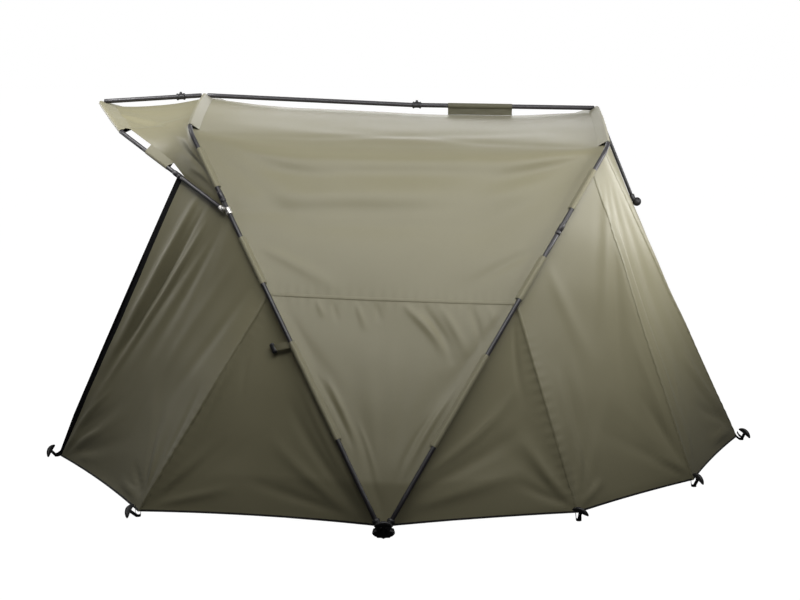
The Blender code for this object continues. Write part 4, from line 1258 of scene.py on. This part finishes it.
def stitchTree():
    # short threads set end to end along every line of a mesh
    tree = bpy.data.node_groups.new("stitchRows", "GeometryNodeTree")

    def socket(name, kind, way="INPUT"):
        return tree.interface.new_socket(name, in_out=way, socket_type="NodeSocket" + kind)

    socket("Geometry", "Geometry")
    sizes = {"Spacing": seams.stitchSpacing, "Length": seams.stitchLength, "Radius": seams.stitchRadius}
    for name, value in sizes.items():
        socket(name, "Float").default_value = value
    socket("Thread", "Material")
    socket("Geometry", "Geometry", "OUTPUT")

    def add(kind, **inputs):
        return addNode(tree, kind, **inputs)

    start, end = add("NodeGroupInput"), add("NodeGroupOutput")
    curve = add("GeometryNodeMeshToCurve")
    points = add("GeometryNodeCurveToPoints", settings={"mode": "LENGTH"})
    bead = add("GeometryNodeMeshIcoSphere", Radius=1.0, Subdivisions=1)
    size = add("ShaderNodeCombineXYZ")
    place = add("GeometryNodeInstanceOnPoints")
    real, smooth = add("GeometryNodeRealizeInstances"), add("GeometryNodeSetShadeSmooth")
    paint = add("GeometryNodeSetMaterial")
    pairs = (
        (start.outputs["Geometry"], curve.inputs[0]),
        (curve.outputs[0], points.inputs["Curve"]),
        (start.outputs["Spacing"], points.inputs["Length"]),
        (points.outputs["Points"], place.inputs["Points"]),
        (points.outputs["Rotation"], place.inputs["Rotation"]),
        (bead.outputs["Mesh"], place.inputs["Instance"]),
        (start.outputs["Radius"], size.inputs["X"]),
        (start.outputs["Radius"], size.inputs["Y"]),
        (addMath(tree, "MULTIPLY", start.outputs["Length"], 0.5), size.inputs["Z"]),
        (size.outputs[0], place.inputs["Scale"]),
        (place.outputs[0], real.inputs[0]),
        (real.outputs[0], smooth.inputs[0]),
        (smooth.outputs[0], paint.inputs["Geometry"]),
        (start.outputs["Thread"], paint.inputs["Material"]),
        (paint.outputs[0], end.inputs[0]),
    )
    for a, b in pairs:
        tree.links.new(a, b)
    return tree


stitching = stitchTree()


def stitchPiece(name, lines, slot):
    # lines of points become rows of stitches in one mesh
    verts, edges = [], []
    for line in lines:
        first = len(verts)
        verts += [tuple(p) for p in line]
        edges += [(i, i + 1) for i in range(first, len(verts) - 1)]
    mesh = bpy.data.meshes.new(name)
    mesh.from_pydata(verts, edges, [])
    rowsMade = newObject(name + "Rows", mesh)
    step = rowsMade.modifiers.new("stitches", "NODES")
    step.node_group = stitching
    inputs = {s.name: s.identifier for s in stitching.interface.items_tree if s.in_out == "INPUT"}
    step[inputs["Thread"]] = finishes["thread"]
    graph = bpy.context.evaluated_depsgraph_get()
    made = bpy.data.meshes.new_from_object(rowsMade.evaluated_get(graph))
    bpy.data.objects.remove(rowsMade, do_unlink=True)
    return addPiece(newObject(name, made), slot)


seamPieces = {}
stitchLines = []
stitchLift = cover.thickness / 2 + seams.proud + seams.stitchLift
for seamName, line in seamLines.items():
    seamPieces[seamName] = addMirrored(seamPiece(seamName + "_left", line), "cloth")
    stitchRows = seamGrid(line, (-seams.stitchOffset, seams.stitchOffset), (stitchLift, stitchLift))
    for k in range(2):
        stitchLines += [stitchRows[:, k], stitchRows[:, k] * mirror]
seamStitches = stitchPiece("seam_stitches", stitchLines, "cloth")
print("stage: seams made")

# Hem: a dark edge folded over the cloth, with its two sides clear of it.
hem = SimpleNamespace(**{"width": 0.0065, "thickness": 0.0008, "clear": 0.0006, "low": 0.0014, "step": 0.012})


def hemPiece(name, line):
    points = resampled(line, hem.step)
    lift = cover.thickness / 2 + hem.clear
    drop = np.array([0, 0, hem.low - cover.hemHeight])
    grid = []
    for point, tangent in zip(points, unit(np.gradient(points, axis=0))):
        out = facing(np.array([tangent[1], -tangent[0], 0.0]), point - inside)
        rises = [hem.width * share for share in (1, 0.7, 0.4, 0.15)]
        spots = [point + np.array([0, 0, rise]) - out * rise * 0.3 for rise in rises]
        outer, inner = ([onCover(spot, lift, out * way)[0] for spot in spots] for way in (1, -1))
        grid.append(outer + [point + out * lift * way + drop for way in (1, 0, -1)] + inner[::-1])
    return ribbonPiece(name, grid, hem.thickness, "hem")


hemLines = {
    "front_gusset": blockHem,
    "front_panel": frontHem,
    "rear_gusset": rearHem,
    "rear_panel": sideHem,
    "rear_corner_panel": cornerHem,
}
hemPieces = {}
for hemName, line in hemLines.items():
    pair = addMirrored(hemPiece(f"hem_{hemName}_left", line), "cloth")
    hemPieces |= {f"{hemName}_{side}": piece for side, piece in zip(sides, pair)}
hemPieces["rear_wall"] = addPiece(hemPiece("hem_rear_wall", endHem), "cloth")
print("stage: hem made")

# Doorway band: its free edge is rolled.
roll = SimpleNamespace(**{"radius": 0.0034, "sides": 12, "step": 0.015})
rollOutline = circle(roll.radius, roll.sides)
bandEdges = []
for side, way in zip(sides, (1.0, mirror)):
    rollPath = resampled(doorGrid[:, -1] * way, roll.step)
    rollMade = sweepPiece("door_roll_" + side, rollPath, (1.0, 0.0, 0.3), rollOutline, "band", 1.0, 60)
    bandEdges.append(addPiece(rollMade, "door_band"))

# Ridge poles, their locks and the cloth that hangs from them.
frontApex = front.place(0, front.length)
rearApex = rear.place(0, rear.length)
tipSeat = hood.place(0, hood.length) + Vector((0, 0, tent.tipRise))
apexUp = Vector((0, 0, tent.apexRise))
lockSpot = atPivot(tent.ridgeLock[0], 0, tent.ridgeLock[1])
ridgeSeats = {"tip": 0.0142, "apex": 0.0117}


def ridgePole(name, spots, seats):
    path = list(spots)
    for end, step, seat in ((0, 1, seats[0]), (-1, -2, seats[1])):
        along = (spots[step] - spots[end]).normalized()
        path[end] = spots[end] + along * ridgeSeats[seat] / abs(along.x)
    fine = []
    for a, b in zip(path, path[1:]):
        fine += [a.lerp(b, s) for s in even(0, 1, 10)[:-1]]
    polePiece(name + "_pole", fine + [path[-1]], (0, 1, 0), poles.ridgeRadius)


lock = SimpleNamespace(**{
    "length": 0.036,
    "radius": 0.014,
    "lip": 0.0022,
    "nubRadius": 0.0052,
    "nubHeight": 0.0075,
    "setback": 0.002,
})


def turnedPiece(name, path, normal, outline, finish, count=28):
    # a turned body: outline gives the share of the path and the radius there
    start, end = (Vector(spot) for spot in path)
    spots = [start.lerp(end, s) for s, radius in outline]
    return sweepPiece(name, spots, normal, circle(1.0, count), finish, [radius for s, radius in outline])


def ridgeLock(name, spot, towards):
    along = (towards - spot).normalized() * (lock.length / 2)
    up = Vector((0, 0, 1))
    r, n = lock.radius, lock.nubRadius
    dip = r - lock.lip * 1.15
    outline = [(0, r * 0.80), (0.02, r * 0.94), (0.05, r), (0.20, r), (0.24, r - lock.lip), (0.27, dip)]
    outline += [(1 - s, radius) for s, radius in reversed(outline)]
    barrel = turnedPiece("barrel", (spot - along, spot + along), (0, 1, 0), outline, "moulding")
    base = spot + up * (r - lock.lip * 1.6)
    top = base + up * (lock.nubHeight + lock.lip)
    nubLine = [(0, n * 1.15), (0.18, n), (0.78, n), (0.93, n * 0.84), (1, n * 0.5)]
    nub = turnedPiece("nub", (base, top), (0, 1, 0), nubLine, "moulding", 18)
    ringLine = [(0, n * 1.6), (0.7, n * 1.6), (1, n * 1.4)]
    ring = turnedPiece("ring", (base, base + up * 0.003), (0, 1, 0), ringLine, "moulding", 18)
    addPiece(joinPieces(name + "_collar", [barrel, nub, ring]), "moulding", name)


frontRun = [tipSeat, frontApex + apexUp]
rearRun = [frontApex + apexUp, lockSpot, rearApex + apexUp]
ridgePole("ridge_pole_front", frontRun, ("tip", "apex"))
ridgePole("ridge_pole_rear", rearRun, ("apex", "apex"))
lockShare = (atPivot(tent.frontLockX, 0, 0).x - frontApex.x) / (tipSeat.x - frontApex.x)
frontLockSpot = frontRun[1].lerp(tipSeat, lockShare)
lockShift = (rearRun[2] - lockSpot).normalized() * (lock.length / 2 + lock.setback)
ridgeLock("ridge_lock_front", frontLockSpot, tipSeat)
ridgeLock("ridge_lock_rear", lockSpot + lockShift, rearRun[2])

ridgeWeb = SimpleNamespace(**{
    "thickness": 0.0012,
    "steps": 24,
    "gap": 0.0005,
    "loopTurn": 5.7,
    "loopSteps": 22,
    "wave": 0.0011,
    "waveTurn": 14,
    "footY": 0.0005,
})


def ridgePatch():
    # a web of cloth that stands on the roof, with a small wave in it, and loops round the ridge pole
    slope = (rearRun[2].z - lockSpot.z) / (rearRun[2].x - lockSpot.x)
    loop = poles.ridgeRadius + ridgeWeb.gap + ridgeWeb.thickness / 2
    grid = []
    low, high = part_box("ridge_patch")
    for s in np.linspace(0, 1, ridgeWeb.steps + 1):
        x = low.x + (high.x - low.x) * s
        middle = lockSpot.z + slope * (x - lockSpot.x)
        top = middle - loop
        foot = coverTree.ray_cast(Vector((x, ridgeWeb.footY, 2)), Vector((0, 0, -1)))[0].z + cover.thickness
        column = []
        for v in np.linspace(1, 0, 7):
            wave = ridgeWeb.wave * math.sin(math.pi * v) * math.sin(s * ridgeWeb.waveTurn)
            column.append((x, wave, top * (1 - v) + foot * v))
        for a in np.linspace(0, ridgeWeb.loopTurn, ridgeWeb.loopSteps)[1:]:
            column.append((x, -loop * math.sin(a), middle - loop * math.cos(a)))
        grid.append(column)
    grid = np.array(grid)
    # the web wears the darker copy of the cloth, painted shade on its face
    made = ribbonPiece("ridge_patch_cloth", grid, ridgeWeb.thickness, "clothBack", 50)
    addPiece(made, "cloth", "ridge_patch")
    width, length, area = sheetSize(grid)


ridgePatch()
print("stage: ridge made")

# Clips: a bright collar on each front leg, with a lug and a pin for the hood rib.
clip = SimpleNamespace(**{
    "length": 0.026,
    "radius": 0.0118,
    "waist": 0.0106,
    "lugLength": 0.013,
    "lugReach": 0.010,
    "lugRadius": 0.0098,
    "pinRadius": 0.0032,
    "pinHead": 0.0015,
})


def hoodClip():
    reach = clip.length / 2 / front.leg.length
    ends = [front.legPoint(tent.clipStation + s) for s in (-reach, reach)]
    r, w = clip.radius, clip.waist
    outline = [(0, r * 0.82), (0.03, r * 0.95), (0.08, r), (0.30, r), (0.38, w), (0.46, w), (0.54, r)]
    outline += [(0.92, r), (0.97, r * 0.95), (1, r * 0.82)]
    barrel = turnedPiece("barrel", ends, front.normal, outline, "clip")
    foot = poles.feet["hood_rib"]
    lug = [hood.legPoint(foot + run / hood.leg.length) for run in (-clip.lugLength, clip.lugReach)]
    lr, pinR = clip.lugRadius, clip.pinRadius
    lugLine = [(0, 0.8), (0.06, 1), (0.55, 1), (0.64, 0.90), (0.72, 1), (0.94, 0.98), (1, 0.86)]
    lugLine = [(s, lr * scale) for s, scale in lugLine]
    socket = turnedPiece("socket", lug, front.normal, lugLine, "clip")
    middle = lug[0].lerp(lug[1], 0.38)
    out = (front.legPoint(0.5) - front.legPoint(0.5, 1.0)).normalized()
    pinEnds = (middle - out * (lr + clip.pinHead), middle + out * (lr + clip.pinHead + 0.0003))
    pinLine = [(0, pinR * 0.7), (0.04, pinR), (0.96, pinR), (1, pinR * 0.7)]
    pin = turnedPiece("pin", pinEnds, front.forward, pinLine, "clip", 16)
    return joinPieces("hood_clip_left_casting", [barrel, socket, pin])


addMirrored(hoodClip(), "clip", "hood_clip")

# Pegs: a bow-shaped head on a ribbed stem that leans out over the hem.
pegs = SimpleNamespace(**{
    "headHalf": 0.031,
    "headFall": 0.018,
    "crown": 0.006,
    "headDepth": 0.0145,
    "tipDepth": 0.0050,
    "thickness": 0.0125,
    "stemLength": 0.046,
    "stemWidth": 0.012,
    "ribWidth": 0.004,
    "grooveReach": 0.72,
    "grooveSize": (0.0035, 0.0016),
    "flare": 0.35,
    "flareFrom": 0.030,
    "flareLength": 0.012,
    "ground": 0.0002,
    # the webbing loop: half its width where it leaves the hem, and its bend round the stem
    "loopStart": ((-0.020, 0.0085), (-0.010, 0.0090), (0.0, 0.0092)),
    "loopBend": (0.0085, 0.0088),
    "loopLow": 0.0012,
    "loopRise": 0.35,
    "loopWidth": 0.0095,
    "loopThickness": 0.0014,
    # base on the ground, the way of the lean, the lean and the turn of the head
    "sets": {
        "door": ((-1.292, -0.543), -145, 40, -60),
        "front_side": ((-0.844, -1.212), -165, 50, -42),
        "rear_side": ((0.662, -1.256), -65, 15, -55),
        "rear_corner": ((1.130, -0.907), -30, 25, 65),
        "rear_end": ((1.451, -0.331), -50, 25, -90),
    },
})


def cutAtGround(piece):
    bm = bmesh.new()
    bm.from_mesh(piece.data)
    geometry = list(bm.verts) + list(bm.edges) + list(bm.faces)
    cut = bmesh.ops.bisect_plane(
        bm, geom=geometry, plane_co=(0, 0, pegs.ground), plane_no=(0, 0, -1), clear_outer=True
    )
    rim = [e for e in cut["geom_cut"] if isinstance(e, bmesh.types.BMEdge)]
    bmesh.ops.edgeloop_fill(bm, edges=rim)
    bm.to_mesh(piece.data)
    bm.free()


def pegPieces(base, azimuth, lean, roll):
    # parts of one peg, ready to be joined
    azimuth, lean, roll = (math.radians(angle) for angle in (azimuth, lean, roll))
    level = Vector((-math.sin(azimuth), math.cos(azimuth), 0))
    rise = Vector((level.y * math.sin(lean), -level.x * math.sin(lean), math.cos(lean)))
    tangent = level * math.cos(roll) + rise.cross(level) * math.sin(roll)
    depth = tangent.cross(rise)
    path, profiles = [], []
    for a in np.linspace(-1, 1, 29):
        edge = math.sqrt(max(0.0, 1 - a ** 10))
        tall = (pegs.headDepth * (1 - a * a) + pegs.tipDepth) * (0.25 + 0.75 * edge)
        wide = pegs.thickness * (0.55 + 0.45 * (1 - a * a)) * (0.3 + 0.7 * edge)
        across = pegs.headHalf * a
        top = pegs.stemLength + pegs.crown - pegs.headFall * a * a
        path.append(base + tangent * across + rise * (top - tall / 2))
        profiles.append(roundedBox(wide, tall, min(wide, tall) * 0.36, 3))
    head = sweepPiece("head", path, rise, profiles, "moulding", 1.0, 60)
    groove = []
    for a in np.linspace(-pegs.grooveReach, pegs.grooveReach, 15):
        top = pegs.stemLength + pegs.crown - pegs.headFall * a * a
        groove.append(base + tangent * (pegs.headHalf * a) + rise * (top + 0.0001))
    ridge = sweepPiece("ridge", groove, rise, roundedBox(*pegs.grooveSize, 0.0006, 2), "moulding", 1.0, 60)
    parts = [head, ridge]
    steps = even(-0.02, pegs.stemLength - 0.004, 10)
    line = [base + rise * s for s in steps]
    flare = [1.0 + pegs.flare * max(0.0, (s - pegs.flareFrom) / pegs.flareLength) ** 2 for s in steps]
    for wide, deep, scales in ((pegs.stemWidth, pegs.ribWidth, flare), (pegs.ribWidth, pegs.thickness, 1.0)):
        web = sweepPiece("web", line, depth, roundedBox(wide, deep, 0.0011, 2), "moulding", scales, 60)
        cutAtGround(web)
        parts.append(web)
    return parts


def loopPiece(name, corner, outwardWay, reach):
    # a short webbing loop from the hem round the peg's stem
    tangent = Vector((-outwardWay.y, outwardWay.x, 0))
    path = list(pegs.loopStart)
    wide, deep = pegs.loopBend
    path += [(reach + wide * math.cos(a), deep * math.sin(a)) for a in np.radians(np.linspace(90, -90, 13))]
    path += [(along, -across) for along, across in path[2::-1]]
    grid = []
    for along, across in path:
        spot = corner + outwardWay * along + tangent * across
        lift = pegs.loopLow + pegs.loopRise * max(0.0, -along)
        grid.append([(spot.x, spot.y, lift + w) for w in (0.0, 0.003, 0.0065, pegs.loopWidth)])
    return ribbonPiece(name, grid, pegs.loopThickness, "band")


def groundPegs():
    ends = {
        "door": (doorGrid[0, -1], "front_panel"),
        "front_side": (peg("frontSide"), "front_gusset"),
        "rear_side": (peg("rearSide"), "rear_gusset"),
        "rear_corner": (peg("rearCorner"), "rear_panel"),
        "rear_end": (peg("rear"), "rear_corner_panel"),
    }
    loops = {}
    for name, (spot, *angles) in pegs.sets.items():
        end, panel = ends[name]
        corner = Vector((end[0], end[1], 0))
        base = atPivot(*spot, 0)
        reach = base - corner
        left = joinPieces(f"peg_{name}_left_moulding", pegPieces(base, *angles))
        loop = loopPiece(f"peg_loop_{name}_left", corner, reach.normalized(), reach.length)
        addMirrored(left, "moulding", "peg_" + name)
        for side, piece in zip(sides, addMirrored(loop, "door_band")):
            loops.setdefault(f"{panel}_{side}", []).append(piece)
    return loops


pegLoops = groundPegs()

# Pivot blocks: a rounded block on the ground with a socket for each leg, held by its own peg.
block = SimpleNamespace(**{
    "size": (0.064, 0.036, 0.028),
    "socketRadius": 0.0125,
    "socketLength": 0.036,
    "socketPast": 0.004,
    "round": 0.006,
    "pegBase": 0.012,
    "pegLean": 12,
})


def pivotBlock():
    length, depth, height = block.size
    y = -tent.pivotHalf
    path, profiles = [], []
    for a in np.linspace(-1, 1, 15):
        edge = math.sqrt(max(0.0, 1 - abs(a) ** 6))
        tall = height * (0.55 + 0.45 * edge)
        path.append(atPivot(length / 2 * a, y, tall / 2))
        wide = depth * (0.62 + 0.38 * edge)
        profiles.append(roundedBox(wide, tall, block.round, 3))
    parts = [sweepPiece("body", path, (0, 0, 1), profiles, "moulding", 1.0, 50)]
    r = block.socketRadius
    outline = [(0, 0.7), (0.05, 0.98), (0.5, 1), (0.80, 1), (0.83, 1.10), (0.95, 1.10), (1, 0.98)]
    outline = [(s, r * scale) for s, scale in outline]
    for rib in (front, rear):
        foot = rib.legPoint(poles.feet["front_rib"])
        way = (rib.legPoint(1) - rib.legPoint(0)).normalized()
        ends = (foot - way * block.socketLength, foot + way * block.socketPast)
        parts.append(turnedPiece("socket", ends, rib.normal, outline, "moulding"))
    parts += pegPieces(atPivot(0, y - depth / 2, block.pegBase), -90, block.pegLean, 0)
    for part in parts:
        if min(v.co.z for v in part.data.vertices) < pegs.ground:
            cutAtGround(part)
    return joinPieces("pivot_block_left_moulding", parts)


addMirrored(pivotBlock(), "moulding", "pivot_block")

# Rear strut with its round knob.
strut = SimpleNamespace(**{
    "radius": 0.007,
    "length": 0.398,
    "start": 0.0124,
    "offWall": 0.0029,
    "knobRadius": 0.0185,
    "knobReach": 0.017,
    "knobOut": 0.0105,
    "neckFrom": 0.020,
    "neckPast": 0.006,
    "neck": ((0, 0.0105), (0.1, 0.0118), (0.8, 0.0118), (1, 0.0100)),
})


def rearStrut():
    wallTop = Vector(rearArch[archSteps // 2])
    wallFoot = Vector(endHem[archSteps // 2])
    down = (wallFoot - wallTop).normalized()
    out = Vector((-down.z, 0, down.x))
    line = wallTop + out * (strut.radius + strut.offWall)
    top = line + down * ((rearApex - line).dot(down) + strut.start)
    end = top + down * strut.length
    spots = [top.lerp(end, s) for s in even(0, 1, 12)]
    path, scales = roundEnds(spots)
    rod = sweepPiece("rod", path, (0, 1, 0), circle(strut.radius, 24), "moulding", scales)
    centre = end + down * strut.knobReach + out * strut.knobOut
    r = strut.knobRadius
    # the knob is a ball with a flat band round its middle
    outline = []
    for a in np.linspace(-90, 90, 25):
        radius = r * math.cos(math.radians(a))
        if abs(a) < 12:
            radius = r * 0.985
        outline.append((0.5 + 0.5 * math.sin(math.radians(a)), max(radius, 0.0004)))
    ball = turnedPiece("ball", (centre - out * r, centre + out * r), (0, 1, 0), outline, "moulding", 32)
    neckEnds = (end - down * strut.neckFrom, end + down * strut.neckPast)
    neck = turnedPiece("neck", neckEnds, (0, 1, 0), strut.neck, "moulding")
    addPiece(joinPieces("rear_strut_rod", [rod, ball, neck]), "moulding", "rear_strut")


rearStrut()

# Side toggles: a moulded bar on a short cloth tab beside each front leg.
toggle = SimpleNamespace(**{
    "station": 0.431,
    "size": (0.020, 0.038, 0.013),
    "tabWidth": 0.026,
    "tabDrop": 0.004,
    "tabBow": 0.004,
    "tabThickness": 0.0014,
})


def sideToggle():
    low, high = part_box("side_toggle_left")
    centre = (low + high) / 2
    spot, normal = onCover(centre)
    out = Vector(facing(normal, np.array(centre) - spot))
    along = (front.legPoint(1) - front.legPoint(0)).normalized()
    along = (along - out * along.dot(out)).normalized()
    width, length, height = toggle.size
    path, profiles = [], []
    for a in np.linspace(-1, 1, 13):
        edge = math.sqrt(max(0.0, 1 - abs(a) ** 6))
        waist = 1 - 0.22 * (1 - a * a) ** 2
        path.append(centre + along * (length / 2 * a))
        wide = width * waist * (0.45 + 0.55 * edge)
        tall = height * (0.55 + 0.45 * edge)
        profiles.append(roundedBox(wide, tall, min(wide, tall) * 0.36, 3))
    bar = sweepPiece("side_toggle_left_bar", path, out, profiles, "moulding", 1.0, 50)
    addMirrored(bar, "moulding", "side_toggle")
    # the tab is sewn in under the leg's sleeve, and the bar hangs in its end
    start = Vector(front.legPoint(toggle.station, toggle.tabDrop))
    grid = []
    for s in np.linspace(0, 1, 12):
        spot = start.lerp(centre, s) + out * (toggle.tabBow * math.sin(math.pi * s))
        wide = toggle.tabWidth * (1 - 0.2 * s)
        grid.append([spot + along * (wide * w) for w in np.linspace(-0.5, 0.5, 5)])
    return addMirrored(ribbonPiece("toggle_tab_left", grid, toggle.tabThickness, "sleeve"), "sleeve")


toggleTabs = sideToggle()
print("stage: fittings made")

# Which pieces are sewn to each panel of cloth, and the size of each panel.
sewnOn = {n: [] for n in names}
sewnPairs = {
    "side_panel_lower": [seamPieces["side_seam"]],
    "side_panel_upper": [frontSleeves, rearSleeves],
    "front_gusset": [seamPieces["front_seam"], toggleTabs],
    "rear_gusset": [seamPieces["rear_seam"]],
    "rear_panel": [seamPieces["corner_seam"]],
    "rear_corner_panel": [seamPieces["end_seam"]],
    "door_edge": [bandEdges],
}
for panel, pairs in sewnPairs.items():
    for pair in pairs:
        for side, piece in zip(sides, pair):
            sewnOn[f"{panel}_{side}"].append(piece)
sewnOn["hood_panel"] += [hoodArchSleeve, *hoodLegSleeves]
sewnOn["roof_panel"] += [frontArchSleeve, rearArchSleeve, seamStitches]
for n, pieces in pegLoops.items():
    sewnOn[n] += pieces
for n, piece in hemPieces.items():
    sewnOn[n].append(piece)
for n, piece in clothPieces.items():
    width, length, area = sheetSize(grids[n])


# Floor, light and camera.
studio = SimpleNamespace(**{
    "floorColour": (0.06, 0.06, 0.06),
    "floorGlow": 1.0,
    # the painted shadow on the floor inside the tent: its half sizes, where it starts to fade, and how much
    # the floor still glows under it
    "darkHalf": (1.1, 0.95),
    "darkEdge": 0.75,
    "darkGlow": 0.4,
    "floorBounce": (0.03, 0.03, 0.03),
    "worldSeen": 1.0,
    "worldLight": 0.03,
    "cameraPlace": (-0.0252, -5.4993, 1.5992),
    "cameraPitch": 11.12,
    "cameraYaw": -0.09,
    "lens": 59.21,
})


def addFloor():
    bm = bmesh.new()
    bmesh.ops.create_grid(bm, x_segments=1, y_segments=1, size=40.0)
    mesh = bpy.data.meshes.new("studioFloor")
    bm.to_mesh(mesh)
    bm.free()
    floor = newObject("studioFloor", mesh)
    floor.location.z = -0.0005
    made, tree, shader = newMaterial("paleFloor", 0.9, Specular_IOR_Level=0.1)
    shader.inputs["Emission Color"].default_value = white
    # the floor looks pale, and throws less light back up on the tent than it shows
    seen = addNode(tree, "ShaderNodeLightPath").outputs["Is Camera Ray"]
    colours = {"A": (*studio.floorBounce, 1.0), "B": (*studio.floorColour, 1.0)}
    mix = addNode(tree, "ShaderNodeMix", {"data_type": "RGBA"}, Factor=seen, **colours)
    tree.links.new(mix.outputs["Result"], shader.inputs["Base Color"])
    # inside the tent the floor glows less: a painted shadow of the tent on the floor
    where = addNode(tree, "ShaderNodeTexCoord").outputs["Object"]
    flat = addNode(tree, "ShaderNodeVectorMath", {"operation": "MULTIPLY"})
    flat.inputs[1].default_value = (1 / studio.darkHalf[0], 1 / studio.darkHalf[1], 0)
    tree.links.new(where, flat.inputs[0])
    size = addNode(tree, "ShaderNodeVectorMath", {"operation": "LENGTH"}, Vector=flat.outputs[0])
    edge = addNode(tree, "ShaderNodeMapRange", Value=size.outputs["Value"], From_Min=studio.darkEdge,
                   To_Min=studio.darkGlow)
    glow = addMath(tree, "MULTIPLY", seen, edge.outputs["Result"])
    glow = addMath(tree, "MULTIPLY", glow, studio.floorGlow)
    tree.links.new(glow, shader.inputs["Emission Strength"])
    mesh.materials.append(made)


def addLight(name, place, target, size, power, spread=180):
    data = bpy.data.lights.new(name, "AREA")
    data.shape = "RECTANGLE"
    data.size, data.size_y = size
    data.energy = power
    data.spread = math.radians(spread)
    lamp = newObject(name, data)
    lamp.location = place
    lamp.rotation_euler = (Vector(target) - Vector(place)).to_track_quat("-Z", "Y").to_euler()


def addCamera():
    data = bpy.data.cameras.new("photoCamera")
    data.lens = studio.lens
    data.sensor_width = 36.0
    data.clip_end = 200.0
    camera = newObject("photoCamera", data)
    camera.location = studio.cameraPlace
    camera.rotation_euler = (math.radians(90 - studio.cameraPitch), 0.0, math.radians(studio.cameraYaw))
    bpy.context.scene.camera = camera


def setWorld():
    world = bpy.data.worlds.new("paleStudio")
    world.use_nodes = True
    tree = world.node_tree
    back = tree.nodes["Background"]
    back.inputs["Color"].default_value = white
    seen = addNode(tree, "ShaderNodeLightPath").outputs["Is Camera Ray"]
    mix = addNode(tree, "ShaderNodeMix", Factor=seen, A=studio.worldLight, B=studio.worldSeen)
    tree.links.new(mix.outputs["Result"], back.inputs["Strength"])
    bpy.context.scene.world = world
    bpy.context.scene.view_settings.view_transform = "Standard"


addFloor()
addLight("overheadSoftbox", (0.2, -0.6, 2.5), (0.2, -0.2, 0.7), (2.8, 2.0), 15.0)
addLight("rearOverhead", (0.2, 1.0, 2.6), (0.2, 0.0, 0.9), (2.8, 1.6), 7.0)
addLight("cameraSideStrip", (0.1, -2.0, 2.2), (0.0, -0.6, 1.0), (2.2, 0.7), 20.0, 130)
addLight("rearCornerLamp", (1.75, -1.15, 1.35), (0.80, -0.45, 1.10), (0.5, 0.5), 8.5, 110)
addLight("hoodLamp", (-1.5, -0.5, 2.15), (-1.0, -0.12, 1.3), (0.5, 0.5), 5.5, 90)
addLight("rearCornerSheen", (2.4, 0.2, 1.32), (0.9, -0.5, 1.15), (0.7, 0.5), 1.8, 50)
addLight("doorEdgeStrip", (-3.0, 0.1, 1.5), (-1.0, -0.8, 1.0), (0.6, 0.6), 0.65, 50)
addLight("farSideSoftbox", (0.3, 3.2, 2.0), (0.0, 0.5, 0.7), (2.6, 1.4), 45.0)
addLight("doorSoftbox", (-3.0, 2.2, 1.5), (-0.8, 0.1, 0.6), (1.2, 1.2), 30.0)
addCamera()
setWorld()

print("stage: done")
